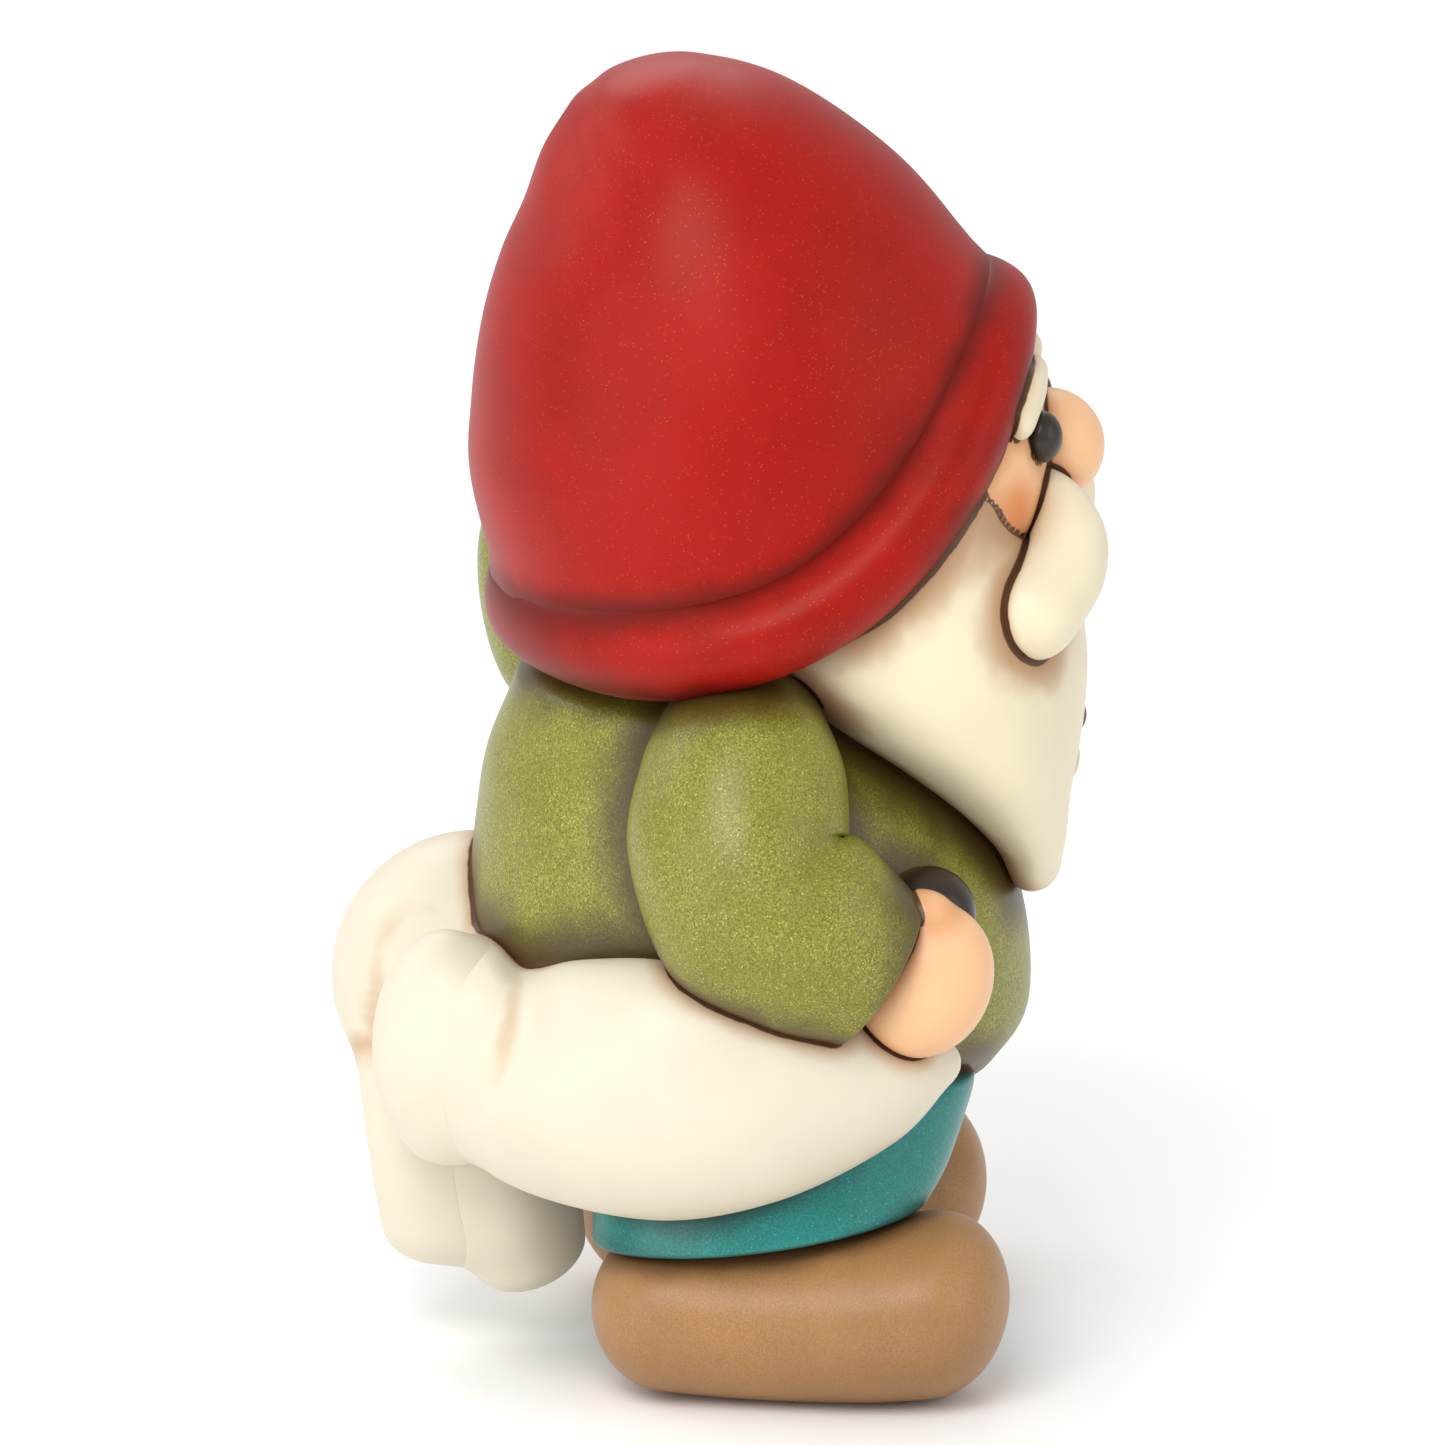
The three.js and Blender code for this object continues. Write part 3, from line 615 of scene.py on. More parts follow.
class GNOME_OT_crown(PieceOperator, bpy.types.Operator):
    """Casts the hat's crown: a fat leaning cone with a soft knob and shallow folds"""

    bl_idname = "gnome.crown"
    bl_label = "Hat crown"

    def make(self, plan):
        rows = [
            (0.48, -0.37, -0.44, 0.28, 0.96, 1.1),
            (0.55, -0.05, -0.44, 0.46, 1, 0.66),
            (0.55, 0.145, -0.37, 0.595, 0.95, 0.4),
            (0.53, 0.34, -0.285, 0.72, 0.85, 0.2),
            (0.495, 0.5, -0.18, 0.83, 0.74, 0.1),
            (0.45, 0.63, -0.075, 0.915, 0.6, 0),
            (0.415, 0.76, 0.02, 0.965, 0.45, 0),
            (0.375, 0.865, 0.1, 0.985, 0.31, 0),
        ]
        grid = loft(
            chords(
                (
                    plan.hat_y + back_y * plan.hat_depth,
                    plan.head_z + back_z * plan.hat_height,
                    plan.hat_y + front_y * plan.hat_depth,
                    plan.head_z + front_z * plan.hat_height,
                    wide * plan.hat_width / 2,
                    droop * BRIM_DROOP,
                )
                for back_y, back_z, front_y, front_z, wide, droop in rows
            ),
            3,
            3,
            edge=1.0,
            soften=(0, 40),
        )
        tip_y, tip_z = plan.hat_y + 0.3 * plan.hat_depth, plan.head_z + 0.93 * plan.hat_height
        knob = [(-15, 2.7, 2.6), (-17, 2.4, -1.3), (-20, 1.1, -3.8), (-22, -1.8, -6.4), (-24, -6, -9)]
        drape = [(-14, 7, -3), (-18, 5.4, -8), (-22, 3, -13), (-27, 0, -20)]
        for line, width, depth in ((knob, 3.0, 2.2), (drape, 2.8, 1.3)):
            for side in (-1, 1):
                moved = [(side * -x, tip_y + y, tip_z + z) for x, y, z in line]
                grid = creased(grid, moved, width, depth)
        piece = solid(plan, "crown", grid, "hat", "satin_red_glaze")
        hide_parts("hat_crown")


class GNOME_OT_brim(PieceOperator, bpy.types.Operator):
    """Rolls the hat's brim round the crown's mouth: a thick roll that follows a closed path"""

    bl_idname = "gnome.brim"
    bl_label = "Hat brim"

    def make(self, plan):
        count = 64
        path = bpy.data.curves.new("brim_path", "CURVE")
        path.dimensions = "3D"
        line = path.splines.new("POLY")
        line.points.add(count - 1)
        line.use_cyclic_u = True
        for i, point in enumerate(line.points):
            turn = 2 * math.pi * i / count
            side, lean = math.sin(turn), math.cos(turn)
            temple = TEMPLE_BULGE * (side * lean) ** 2 if lean < 0 else 0
            place = np.array(
                [
                    side * (plan.hat_width / 2 - 1),
                    plan.hat_y - 0.5 + lean * plan.hat_depth * 0.442 - 0.4 * side**2 - temple,
                    plan.head_z + 0.8 - BRIM_TILT * lean - BRIM_DROOP * side**2 * (1 - 0.5 * lean),
                ]
            )
            point.co = (*((place + plan.shift) * MM), 1)
        guide = bpy.data.objects.new("brim_guide", path)
        bpy.context.scene.collection.objects.link(guide)
        roller = guide.modifiers.new("Roll", "NODES")
        roller.node_group = self.roll_tree()
        for item in roller.node_group.interface.items_tree:
            if item.name == "Radius":
                roller[item.identifier] = plan.brim_roll * 1.04 * MM
            if item.name == "Spacing":
                roller[item.identifier] = 0.8 * MM
        bpy.context.view_layer.update()
        shaped = guide.evaluated_get(bpy.context.evaluated_depsgraph_get())
        mesh = bpy.data.meshes.new_from_object(shaped)
        bpy.data.objects.remove(guide)
        piece = finished("brim", mesh, "hat", "satin_red_glaze")
        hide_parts("hat_brim")

    def roll_tree(self):
        """A closed roll along a path, made of evenly spaced round rings."""
        tree = bpy.data.node_groups.new("Rolled brim", "GeometryNodeTree")
        face = tree.interface
        face.new_socket("Path", in_out="INPUT", socket_type="NodeSocketGeometry")
        for name in ("Radius", "Spacing"):
            socket = face.new_socket(name, in_out="INPUT", socket_type="NodeSocketFloat")
            socket.subtype = "DISTANCE"
        face.new_socket("Roll", in_out="OUTPUT", socket_type="NodeSocketGeometry")
        given = add(tree, "NodeGroupInput").outputs
        smooth = add(
            tree, "GeometryNodeCurveSplineType", {"spline_type": "BEZIER"}, Curve=given["Path"]
        )
        handles = add(
            tree, "GeometryNodeCurveSetHandles", {"handle_type": "AUTO"}, Curve=smooth.outputs[0]
        )
        fine = add(tree, "GeometryNodeSetSplineResolution", n0=handles.outputs[0], Resolution=8)
        even = add(tree, "GeometryNodeResampleCurve", {"mode": "LENGTH"}, Curve=fine.outputs[0])
        tree.links.new(given["Spacing"], even.inputs["Length"])
        ring = add(tree, "GeometryNodeCurvePrimitiveCircle", Resolution=48, Radius=given["Radius"])
        made = add(
            tree, "GeometryNodeCurveToMesh", Curve=even.outputs[0], Profile_Curve=ring.outputs[0]
        )
        real = add(tree, "GeometryNodeRealizeInstances", n0=made.outputs[0])
        dipped = add(tree, "GeometryNodeSetMaterial", Geometry=real.outputs[0])
        dipped.inputs["Material"].default_value = bpy.data.materials["satin_red_glaze"]
        add(tree, "NodeGroupOutput", n0=dipped.outputs[0])
        return tree


class GNOME_OT_head(PieceOperator, bpy.types.Operator):
    """Casts the head, a near ball that shows only between the brim and the beard"""

    bl_idname = "gnome.head"
    bl_label = "Head"

    def make(self, plan):
        radius = plan.head_radius
        grid = egg(
            (0, -plan.head_forward, plan.head_z), (radius * 1.08, radius, radius), edge=1.0
        )
        # Its top is drawn in, so that it stays under the hat.
        lean = np.clip((grid[:, :, 1] - plan.hat_y) / (plan.hat_depth * 0.442), -1, 1)
        rim = plan.head_z - 22 * lean - 17 * (1 - lean**2) * (1 - 0.5 * lean)
        under = np.clip((grid[:, :, 2] - rim) / 9, 0, 1)
        grid[:, :, 0] *= 1 - 0.16 * under
        piece = solid(plan, "face", grid, "head", "peach_blush_glaze")
        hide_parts("head")


class GNOME_OT_nose(PieceOperator, bpy.types.Operator):
    """Presses the nose, a round ball a little fuller below"""

    bl_idname = "gnome.nose"
    bl_label = "Nose"

    def make(self, plan):
        wide, tall = plan.nose_width / 2, plan.nose_width * 0.434
        grid = egg(plan.nose, (wide, tall, tall), edge=0.5)
        grid = pushed(grid, plan.nose + np.array([0, -3, -4]), 6, 0.5)
        piece = solid(plan, "nose_ball", grid, "nose", "peach_satin_glaze")
        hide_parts("nose")


class GNOME_OT_eyes(PieceOperator, bpy.types.Operator):
    """Presses both eyes, glossy beads set in the face"""

    bl_idname = "gnome.eyes"
    bl_label = "Eyes"

    def make(self, plan):
        size = plan.eye_radius
        for side, word in ((-1, "right"), (1, "left")):
            x = side * plan.eye_spacing / 2
            middle = (x, plan.face(x, plan.eye_z) - 0.3, plan.eye_z)
            grid = egg(middle, (size * 0.9, size * 0.85, size), edge=0.35)
            piece = solid(plan, f"eye_{word}_bead", grid, "eye", "glossy_black_glaze")
            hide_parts(f"eye_{word}")


class GNOME_OT_brows(PieceOperator, bpy.types.Operator):
    """Presses both eyebrows, fat short rolls tucked under the brim"""

    bl_idname = "gnome.brows"
    bl_label = "Eyebrows"

    def make(self, plan):
        tall = 3.7
        z = plan.eye_z + plan.eye_radius + tall * 0.84
        for side, word in ((-1, "right"), (1, "left")):
            places = ((8, 1.2, 0.9, 0.8), (14.5, 0.1, 1.2, 1.0), (20, -2.8, 1.5, 0.88))
            points = [
                (side * x, plan.face(x, z + up) - out, z + up, tall * fat, 0.75)
                for x, up, out, fat in places
            ]
            grid = roll(points, tall * 0.8, tall * 0.8, 0.45, (8, 8))
            piece = solid(plan, f"brow_{word}", grid, "brow", "ivory_plain_glaze")
            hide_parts(f"eyebrow_{word}")


class GNOME_OT_moustache(PieceOperator, bpy.types.Operator):
    """Presses both moustache lobes, fat drops that swing out from under the nose"""

    bl_idname = "gnome.moustache"
    bl_label = "Moustache"

    def make(self, plan):
        fat, long = 7.25, 24
        top = plan.nose_z - 1.65
        front = plan.face(0, top)
        for side, word in ((-1, "right"), (1, "left")):
            points = [
                (side * 8.5, front + 2.6, top - 1.5, fat * 0.4),
                (side * 11, front - 0.2, top - long * 0.22, fat * 0.62),
                (side * 15, front - 1.3, top - long * 0.38, fat * 0.82),
                (side * 19, front - 0.2, top - long * 0.54, fat * 0.93),
                (side * 25.5, front + 4.6, top - long * 0.75, fat),
            ]
            grid = roll(points, fat * 0.4, fat * 0.95, 0.5, (10, 16))
            name = f"moustache_{word}_lobe"
            family = f"moustache_{word}"
            piece = solid(plan, name, grid, family, "ivory_plain_glaze")
            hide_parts(f"moustache_{word}")


class GNOME_OT_beard(PieceOperator, bpy.types.Operator):
    """Casts the beard, a broad bib that narrows to a point over the chest"""

    bl_idname = "gnome.beard"
    bl_label = "Beard"

    def make(self, plan):
        rows = [
            (-0.25, 0.14, -2, 29.5, 0.86),
            (0.08, 0.265, 18, 36.5, 0.96),
            (0.32, 0.43, 21, 39, 1),
            (0.51, 0.56, 8, 39, 0.96),
            (0.66, 0.67, -7, 38, 0.85),
            (0.78, 0.77, -17.5, 36.8, 0.68),
            (0.88, 0.87, -24, 36.2, 0.52),
            (0.95, 0.93, -26, 35.5, 0.38),
        ]
        top = plan.head_z + plan.head_radius * 0.06
        grid = loft(
            chords(
                (
                    back - plan.head_forward,
                    top - back_down * plan.beard_length,
                    -front - plan.head_forward,
                    top - front_down * plan.beard_length,
                    wide * plan.beard_width / 2,
                )
                for back_down, front_down, back, front, wide in rows
            ),
            4,
            plan.beard_length * 0.06,
            edge=0.9,
            soften=(4, 8),
        )
        # Its top is drawn in behind the brow, so that it stays under the hat.
        behind = np.clip((grid[:, :, 1] + plan.head_forward + 24) / 8, 0, 1)
        above = np.clip((grid[:, :, 2] - plan.head_z) / 6, 0, 1)
        grid[:, :, 0] *= 1 - 0.2 * behind * above
        piece = solid(plan, "beard_bib", grid, "beard", "ivory_satin_glaze")
        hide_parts("beard")


class GNOME_OT_bead(PieceOperator, bpy.types.Operator):
    """Presses the bead on the beard's front, and the tuft that it gathers"""

    bl_idname = "gnome.bead"
    bl_label = "Beard bead and tuft"

    def make(self, plan):
        y = -plan.head_forward - 36.4
        z = plan.head_z + plan.head_radius * 0.06 - plan.beard_length * 0.63
        bead = egg((3, y, z), (3.4, 3, 3.2), edge=0.35)
        tuft = egg((3, y + 1, z - 6.4), (4, 3, 4.4), edge=0.4)
        piece = solid(plan, "bead", bead, "bead", "glossy_black_glaze")
        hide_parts("beard_bead")
        piece = solid(plan, "tuft", tuft, "tuft", "ivory_plain_glaze")
        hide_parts("beard_tuft")


class GNOME_OT_jacket(PieceOperator, bpy.types.Operator):
    """Casts the jacket's body, a full belly that narrows to the shoulders"""

    bl_idname = "gnome.jacket"
    bl_label = "Jacket body"

    def make(self, plan):
        rows = [
            (0.05, 0.39, -0.49, 0.84),
            (0.15, 0.43, -0.545, 0.96),
            (0.3, 0.45, -0.55, 1),
            (0.46, 0.45, -0.525, 0.99),
            (0.6, 0.44, -0.475, 0.95),
            (0.75, 0.42, -0.4, 0.88),
            (0.9, 0.37, -0.26, 0.74),
        ]
        grid = loft(
            chords(
                (
                    back * plan.jacket_depth,
                    plan.jacket_low + up * plan.jacket_height,
                    front * plan.jacket_depth,
                    plan.jacket_low + up * plan.jacket_height,
                    wide * plan.armpit,
                )
                for up, back, front, wide in rows
            ),
            plan.jacket_height * 0.06,
            plan.jacket_height * 0.1,
            edge=1.0,
            soften=(8, 12),
        )
        piece = solid(plan, "jacket", grid, "jacket", "speckled_moss_glaze")
        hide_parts("jacket_body")


class GNOME_OT_sleeves(PieceOperator, bpy.types.Operator):
    """Presses both sleeves: the right one hangs to the hip, the left one bends up to the hat"""

    bl_idname = "gnome.sleeves"
    bl_label = "Sleeves"

    def make(self, plan):
        arm, cuff, side, z = plan.sleeve_radius, plan.cuff_radius, plan.armpit, plan.arm_z
        right = [
            (-side + 12, -2, z + 2, arm * 0.72),
            (-side + 4, -1.5, z - 3.5, arm * 0.92),
            (-side - 2.5, -0.5, z - 13, arm),
            (-side - 6.5, -3, z - 21.5, arm * 0.99),
            (-side - 7.5, -11, z - 25.5, arm * 0.96),
            (-side - 6.5, -20.5, z - 31.6, cuff),
        ]
        left = [
            (side - 14, 2, z - 2, arm * 0.8),
            (side - 3, 8, z - 4, arm * 0.92),
            (side + 8, 18, z - 2, arm * 0.98),
            (side + 15, 20, z + 7, arm * 0.9),
            (side + 16, 13, z + 19, arm * 0.84),
            (side + 13, 7, z + 27, cuff),
        ]
        for points, word in ((right, "right"), (left, "left")):
            grid = roll(points, 4, 1.5, 0.8, (8, 4))
            name = f"sleeve_{word}_roll"
            piece = solid(plan, name, grid, "jacket", "speckled_moss_glaze")
            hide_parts(f"sleeve_{word}")


class GNOME_OT_hands(PieceOperator, bpy.types.Operator):
    """Presses both fists with their thumbs"""

    bl_idname = "gnome.hands"
    bl_label = "Hands and thumbs"

    def make(self, plan):
        hand, thumb = plan.hand_radius, THUMB
        right = np.array([-plan.armpit - 5, -28, plan.arm_z - 33.5])
        left = np.array([plan.armpit + 9.5, 1, plan.arm_z + 35])
        fists = {
            "right": (
                egg(right, (hand * 0.8, hand * 0.85, hand), FIST_TURN, 0.55),
                egg(right + [-1.5, 0.6, hand * 0.87], (thumb * 0.9, thumb, thumb * 0.82), edge=0.4),
            ),
            "left": (
                egg(left, (hand * 0.75, hand * 0.85, hand), FIST_TURN, 0.55),
                egg(left + [1, -hand * 0.8, -1], (thumb * 0.9, thumb, thumb * 1.3), edge=0.4),
            ),
        }
        for word, grids in fists.items():
            for grid, part in zip(grids, ("hand", "thumb")):
                name = f"{part}_{word}_form"
                piece = solid(plan, name, grid, "hand", "peach_satin_glaze")
                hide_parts(f"{part}_{word}")


class GNOME_OT_grip(PieceOperator, bpy.types.Operator):
    """Presses the dark toggle on the sack's neck, held in the right fist"""

    bl_idname = "gnome.grip"
    bl_label = "Sack toggle"

    def make(self, plan):
        hand = plan.hand_radius
        middle = (-plan.armpit + 3, -28.9, plan.arm_z - 33.5 + hand * 0.65)
        grid = egg(middle, (TOGGLE, TOGGLE, TOGGLE), edge=0.45)
        piece = solid(plan, "toggle", grid, "toggle", "glossy_black_glaze")
        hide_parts("sack_grip")


class GNOME_OT_sack(PieceOperator, bpy.types.Operator):
    """Casts the sack: its body round the hips, its bulge, its fold and its hanging corners"""

    bl_idname = "gnome.sack"
    bl_label = "Sack"

    def make(self, plan):
        tall, flat, side = plan.sack_height / 2, 0.675, plan.armpit
        back, waist = plan.back, plan.waist
        points = [
            (-side + 3, -31, waist - 2, tall * 0.18, 1),
            (-side - 3, -22, waist - 3.6, tall * 0.47, 0.75),
            (-side - 5.5, -6, waist - 4.3, tall * 0.82, flat),
            (-side - 2, 12, waist - 4.5, tall, flat),
            (-side + 12, 30, waist - 5.6, tall * 0.89, flat * 1.07),
            (-side + 34, back - 4.5, waist - 4.6, tall * 0.85, flat),
            (side - 22, back - 4.5, waist - 1, tall * 0.84, flat),
            (side - 6, 24, waist - 2, tall * 0.7, flat),
            (side - 1, 8, waist - 2, tall * 0.45, flat),
        ]
        body = roll(points, 3, 8, 0.9, (4, 8))
        notch = [
            (-side - 4.5, back - 7.8, waist + 19),
            (-side - 4.5, back - 7, waist + 14),
            (-side - 4, back - 5.3, waist + 8),
            (-side - 2, back - 3.5, waist + 2),
            (-side - 1, back - 2.2, waist - 3.5),
        ]
        body = creased(body, notch, 3.8, 5.2)
        MARKS.append(("sack_wrap", notch, 0.8))
        arc = [(14.9, -11.6), (14.5, 1.6), (13.4, 8.6), (10.4, 12.8), (6.7, 13.7), (0.7, 10.1)]
        arc = [(-side + 25, back + y, waist + z) for y, z in arc]
        MARKS.append(("sack_hump", arc, 0.6))
        bulge = egg((10, back - 1, waist - 0.7), (20, 21.8, 21.8), edge=0.8)
        fold = egg((-side + 21, back + 4.5, waist - 4), (12, 11, 18), edge=0.6)
        points = [
            (2, back + 8.4, waist - 9, 9.2),
            (1, back + 5, waist - 25, 10.6),
            (0, back + 4, waist - 36, 9.8),
        ]
        rear = roll(points, 3, 7, 0.6, (12, 12))
        points = [
            (-2, back - 1.5, waist - 24, 9.2),
            (-1, back - 5.8, waist - 34, 10.9),
            (0, back - 8.6, waist - 41, 9),
        ]
        front = roll(points, 3, 5.5, 0.6, (12, 12))
        for name, grid, node in (
            ("sack_wrap", body, "sack_body"),
            ("sack_hump", bulge, "sack_bulge"),
            ("sack_pleat", fold, "sack_fold"),
            ("sack_corner_a", rear, "sack_corner_rear"),
            ("sack_corner_b", front, "sack_corner_front"),
        ):
            piece = solid(plan, name, grid, "sack", "cream_satin_glaze")
            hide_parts(node)


class GNOME_OT_trousers(PieceOperator, bpy.types.Operator):
    """Casts both trouser legs, short barrels that spread over the boots"""

    bl_idname = "gnome.trousers"
    bl_label = "Trousers"

    def make(self, plan):
        half, deep, boot, top = plan.leg_width / 2, plan.leg_depth / 2, plan.boot_height, plan.leg_top
        rows = [
            (boot - 5, boot + 1, 0.88, 0.9, 1),
            (boot + 3, boot + 6, 0.96, 0.95, 0.6),
            (top - 4, top - 3, 1, 1, 0.15),
            (top, top, 1, 1, 0),
        ]
        for side, word in ((-1, "right"), (1, "left")):
            stations = chords(
                (deep * long, back_z, -deep * long, front_z, half * wide)
                for back_z, front_z, wide, long, spread in rows
            )
            moved = [
                (m + [side * (half + GLUE + plan.leg_spread * row[4]), 4.5 * row[4] - 9, 0], a, d, s)
                for (m, a, d, s), row in zip(stations, rows)
            ]
            grid = loft(moved, 3, 3, edge=0.8, soften=(3, 3))
            name = f"leg_{word}"
            piece = solid(plan, name, grid, "trousers", "speckled_teal_glaze")
            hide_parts(f"trouser_leg_{word}")


class GNOME_OT_boots(PieceOperator, bpy.types.Operator):
    """Casts both boots, long beans with a lifted toe and a flat sole"""

    bl_idname = "gnome.boots"
    bl_label = "Boots"

    def make(self, plan):
        half, tall = plan.boot_width / 2, plan.boot_height / 2
        rows = [
            (0.32, 0.86, 0.88, -0.02),
            (0.1, 0.93, 0.91, -0.05),
            (-0.14, 1.0, 0.96, 0),
            (-0.3, 0.98, 0.98, 0.07),
        ]
        for side, word in ((-1, "right"), (1, "left")):
            turn = math.radians(TOE_OUT) * side
            cos, sin = math.cos(turn), math.sin(turn)
            stations = []
            for along, wide, high, lift in rows:
                y, z = along * plan.boot_length, tall * (0.94 + lift)
                middle = np.array([side * plan.stance - y * sin, y * cos - BOOT_FORWARD, z])
                across = np.array([half * wide * cos, half * wide * sin, 0])
                stations.append((middle, across, np.array([0, 0, tall * high]), 0.0))
            grid = loft(stations, plan.boot_length * 0.18, plan.boot_length * 0.18, 0.8, (12, 12))
            # The sole is pressed flat, with a soft edge.
            low = grid[:, :, 2]
            grid[:, :, 2] = np.where(low < 1.2, 1.2 - 1.2 * np.tanh((1.2 - low) / 1.2), low)
            grid[:, :, 2] -= grid[:, :, 2].min()
            piece = solid(plan, f"boot_{word}_form", grid, "boots", "tan_satin_glaze")
            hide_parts(f"boot_{word}")


# ---- Joins: where one piece meets another, the clay is drawn, shaded and outlined ----


class GNOME_OT_joins(bpy.types.Operator):
    """Softens joins within a piece's family, incises the others, and stores how far each is"""

    bl_idname = "gnome.joins"
    bl_label = "Joins"

    def execute(self, context):
        pieces = [o for o in context.scene.objects if o.type == "MESH" and "family" in o]
        if not pieces:
            raise RuntimeError("make the pieces first")
        plan = Plan(context)
        trees, boxes, spots, normals = {}, {}, {}, {}
        for piece in pieces:
            mesh = piece.data
            spot = np.empty(len(mesh.vertices) * 3)
            mesh.vertices.foreach_get("co", spot)
            normal = np.empty(len(mesh.vertices) * 3)
            mesh.vertex_normals.foreach_get("vector", normal)
            spots[piece.name] = spot.reshape(-1, 3)
            normals[piece.name] = normal.reshape(-1, 3)
            faces = [tuple(p.vertices) for p in mesh.polygons]
            trees[piece.name] = BVHTree.FromPolygons([v.co for v in mesh.vertices], faces)
            boxes[piece.name] = (spots[piece.name].min(axis=0), spots[piece.name].max(axis=0))
        reach = REACH * MM
        for piece in pieces:
            spot = spots[piece.name]
            line = np.full(len(spot), REACH)
            fold = np.full(len(spot), REACH)
            lift = np.zeros(len(spot))
            for other in pieces:
                if other is piece or (piece.name == "crown" and other.name != "brim"):
                    continue
                low, high = boxes[other.name]
                inside = np.all((spot > low - reach) & (spot < high + reach), axis=1)
                kin = other["family"] == piece["family"]
                wide, shaded = JOINTS.get(frozenset((piece.name, other.name)), JOINT)
                find = trees[other.name].find_nearest
                for i in np.flatnonzero(inside):
                    hit = find(spot[i], reach)
                    if hit[0] is None:
                        continue
                    away = hit[3] / MM
                    if shaded or not kin:
                        fold[i] = min(fold[i], away)
                    if kin:
                        lift[i] = max(lift[i], wide / 4 * max(0, 1 - away / wide) ** 2)
                    else:
                        across = 1 - abs(float(hit[1].dot(Vector(normals[piece.name][i])))) ** 2
                        line[i] = min(line[i], away / max(math.sqrt(max(across, 0)), 0.5))
            for marked, points, wide in MARKS:
                if marked == piece.name:
                    path = through(points, np.linspace(0, 1, 30))
                    away = beside(spot / MM - plan.shift, path)
                    faint = np.linspace(0, 2.2, 30)[away.argmin(axis=1)]
                    fold = np.minimum(fold, np.maximum(away.min(axis=1) - wide, 0) * 1.4 + faint)
            lift -= 0.3 * np.clip(1 - line / 1.1, 0, 1) ** 2
            moved = spot + normals[piece.name] * lift[:, None] * MM
            mesh = piece.data
            mesh.vertices.foreach_set("co", moved.ravel())
            for name, values in (("line", line), ("fold", fold)):
                store = mesh.attributes.new(name, "FLOAT", "POINT")
                store.data.foreach_set("value", values)
            mesh.update()
        return {"FINISHED"}


# ---- Stage ----


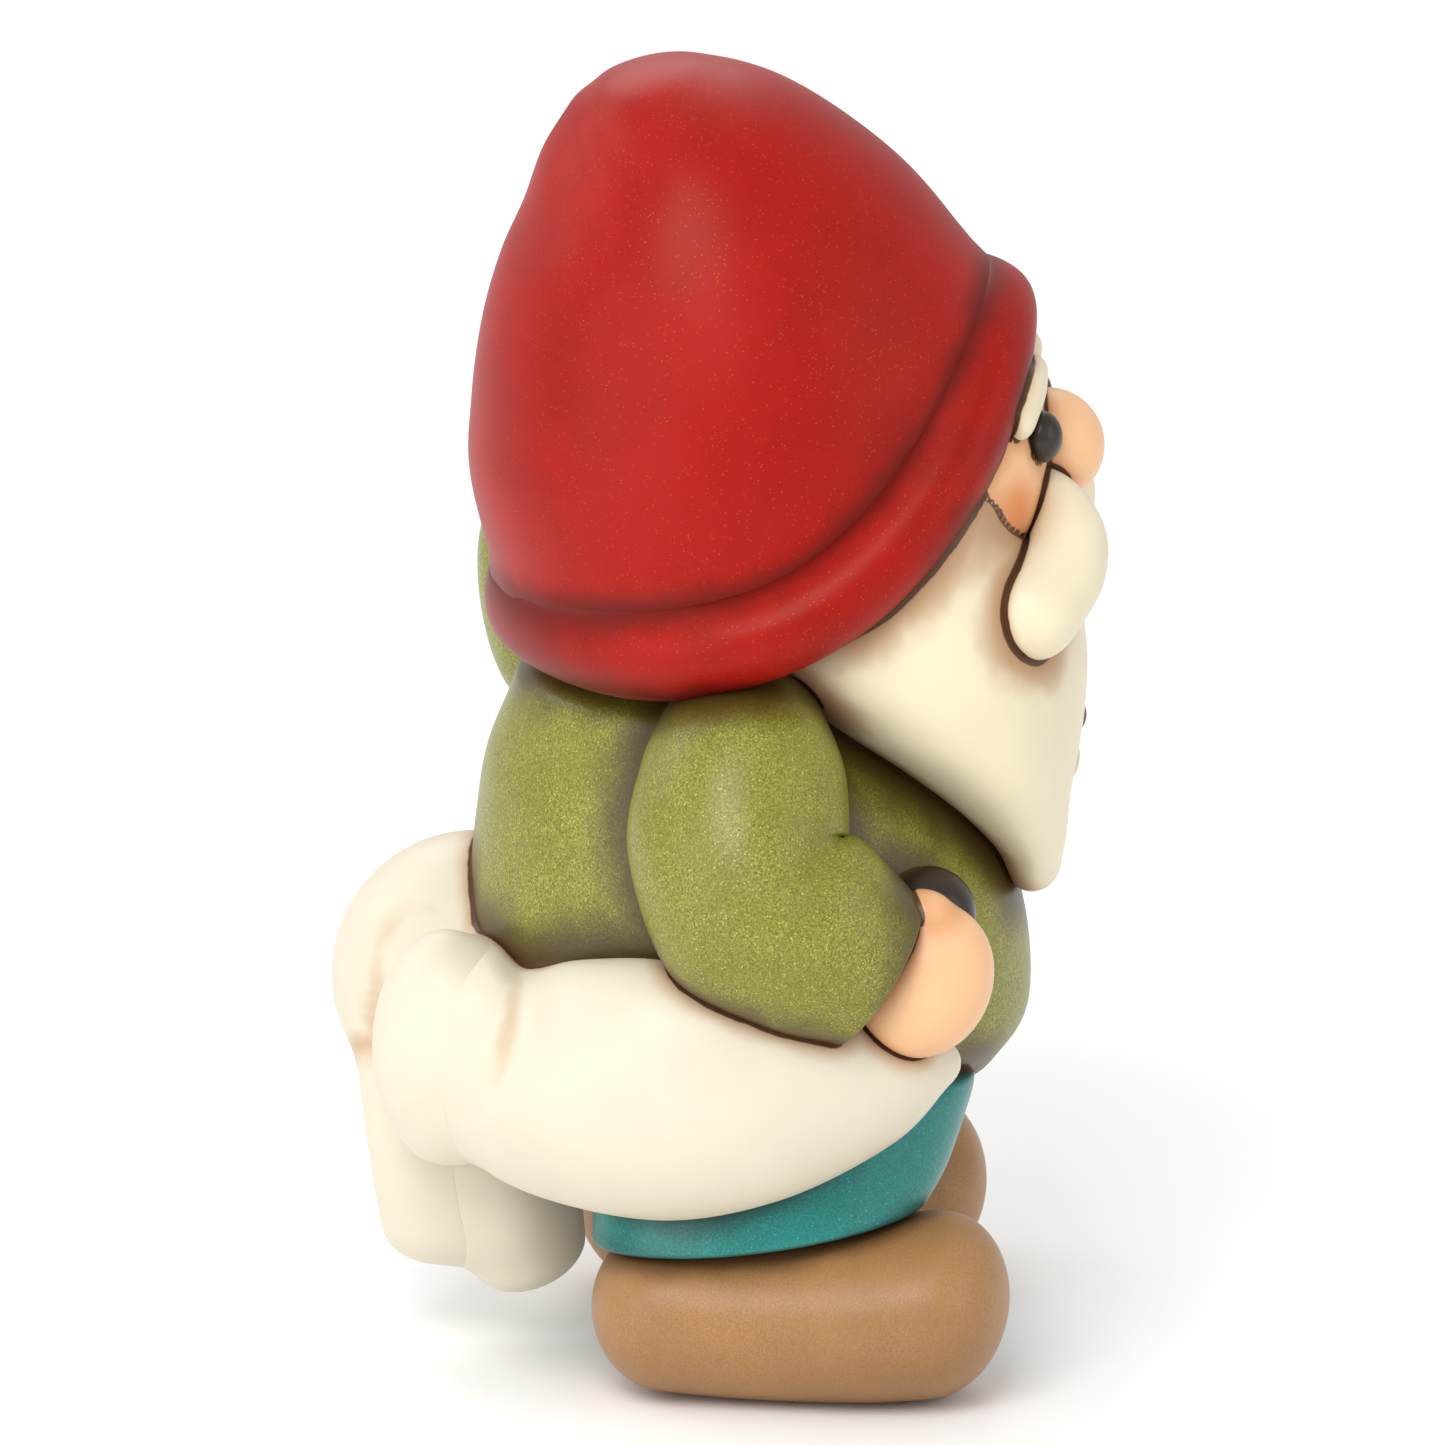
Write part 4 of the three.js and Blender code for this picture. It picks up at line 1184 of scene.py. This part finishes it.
class GNOME_OT_stage(bpy.types.Operator):
    """Sets the floor, the soft lights and the camera"""

    bl_idname = "gnome.stage"
    bl_label = "Stage"

    def execute(self, context):
        scene = context.scene
        mesh = bpy.data.meshes.new("floor")
        half = 3.0
        corners = [(-half, -half, 0), (half, -half, 0), (half, half, 0), (-half, half, 0)]
        mesh.from_pydata(corners, [], [(0, 1, 2, 3)])
        floor = bpy.data.objects.new("floor", mesh)
        scene.collection.objects.link(floor)
        # Matt white paper: it throws soft light back up under the figure.
        paper = bpy.data.materials.new("matt_white_paper")
        paper.use_nodes = True
        shader = paper.node_tree.nodes["Principled BSDF"]
        shader.inputs["Base Color"].default_value = (0.94, 0.94, 0.94, 1)
        shader.inputs["Roughness"].default_value = 0.9
        mesh.materials.append(paper)

        world = bpy.data.worlds.new("white_room")
        scene.world = world
        world.use_nodes = True
        sky = world.node_tree.nodes["Background"]
        sky.inputs["Color"].default_value = (1, 1, 1, 1)
        sky.inputs["Strength"].default_value = 0.66

        middle = Vector((0, 0, VIEW_HEIGHT)) + Vector(Plan(context).shift * MM) * Vector((1, 1, 0))
        for name, place, size, power in (
            ("key", (-0.75, 0.25, 0.75), 0.6, 6.4),
            ("fill", (-0.5, -0.9, 0.35), 0.7, 1.6),
            ("rim", (0.3, 0.8, 0.6), 0.6, 1.6),
            ("bounce", (-0.6, 0.75, 0.05), 0.8, 3.0),
            ("back", (0.9, 0.1, 0.9), 0.9, 5.0),
        ):
            data = bpy.data.lights.new(name, "AREA")
            data.shape = "SQUARE"
            data.size = size
            data.energy = power
            lamp = bpy.data.objects.new(name, data)
            scene.collection.objects.link(lamp)
            lamp.location = middle + Vector(place)
            lamp.rotation_euler = (-Vector(place)).to_track_quat("-Z", "Y").to_euler()

        azimuth, elevation, distance = math.radians(-92.5), math.radians(15), 3.5
        way = Vector(
            (
                math.sin(azimuth) * math.cos(elevation),
                -math.cos(azimuth) * math.cos(elevation),
                math.sin(elevation),
            )
        )
        lens = bpy.data.cameras.new("camera")
        lens.sensor_width = 36
        lens.lens = lens.sensor_width * distance / VIEW_WIDTH
        lens.clip_end = 20
        camera = bpy.data.objects.new("camera", lens)
        scene.collection.objects.link(camera)
        camera.location = middle + way * distance
        camera.rotation_euler = (-way).to_track_quat("-Z", "Y").to_euler()
        scene.camera = camera
        scene.view_settings.view_transform = "Standard"
        return {"FINISHED"}


class GNOME_PT_panel(bpy.types.Panel):
    """Lists the gnome's sizes, colours and makers in the sidebar"""

    bl_idname = "GNOME_PT_panel"
    bl_label = "Gnome"
    bl_space_type = "VIEW_3D"
    bl_region_type = "UI"
    bl_category = "Gnome"

    def draw(self, context):
        for maker in MAKERS:
            self.layout.operator(maker.bl_idname)
        for group in (context.scene.gnome_sizes, context.scene.gnome_colours):
            box = self.layout.box()
            for name in type(group).__annotations__:
                box.prop(group, name)


MAKERS = (
    GNOME_OT_glazes,
    GNOME_OT_crown,
    GNOME_OT_brim,
    GNOME_OT_head,
    GNOME_OT_nose,
    GNOME_OT_eyes,
    GNOME_OT_brows,
    GNOME_OT_moustache,
    GNOME_OT_beard,
    GNOME_OT_bead,
    GNOME_OT_jacket,
    GNOME_OT_sleeves,
    GNOME_OT_hands,
    GNOME_OT_grip,
    GNOME_OT_sack,
    GNOME_OT_trousers,
    GNOME_OT_boots,
    GNOME_OT_joins,
    GNOME_OT_stage,
)
CLASSES = (GnomeSizes, GnomeColours, *MAKERS, GNOME_PT_panel)


def register():
    for each in CLASSES:
        bpy.utils.register_class(each)
    bpy.types.Scene.gnome_sizes = PointerProperty(type=GnomeSizes)
    bpy.types.Scene.gnome_colours = PointerProperty(type=GnomeColours)


def unregister():
    del bpy.types.Scene.gnome_colours
    del bpy.types.Scene.gnome_sizes
    for each in reversed(CLASSES):
        bpy.utils.unregister_class(each)


def main():
    register()
    for maker in MAKERS:
        group, name = maker.bl_idname.split(".")
        getattr(getattr(bpy.ops, group), name)()


if __name__ == "__main__":
    main()
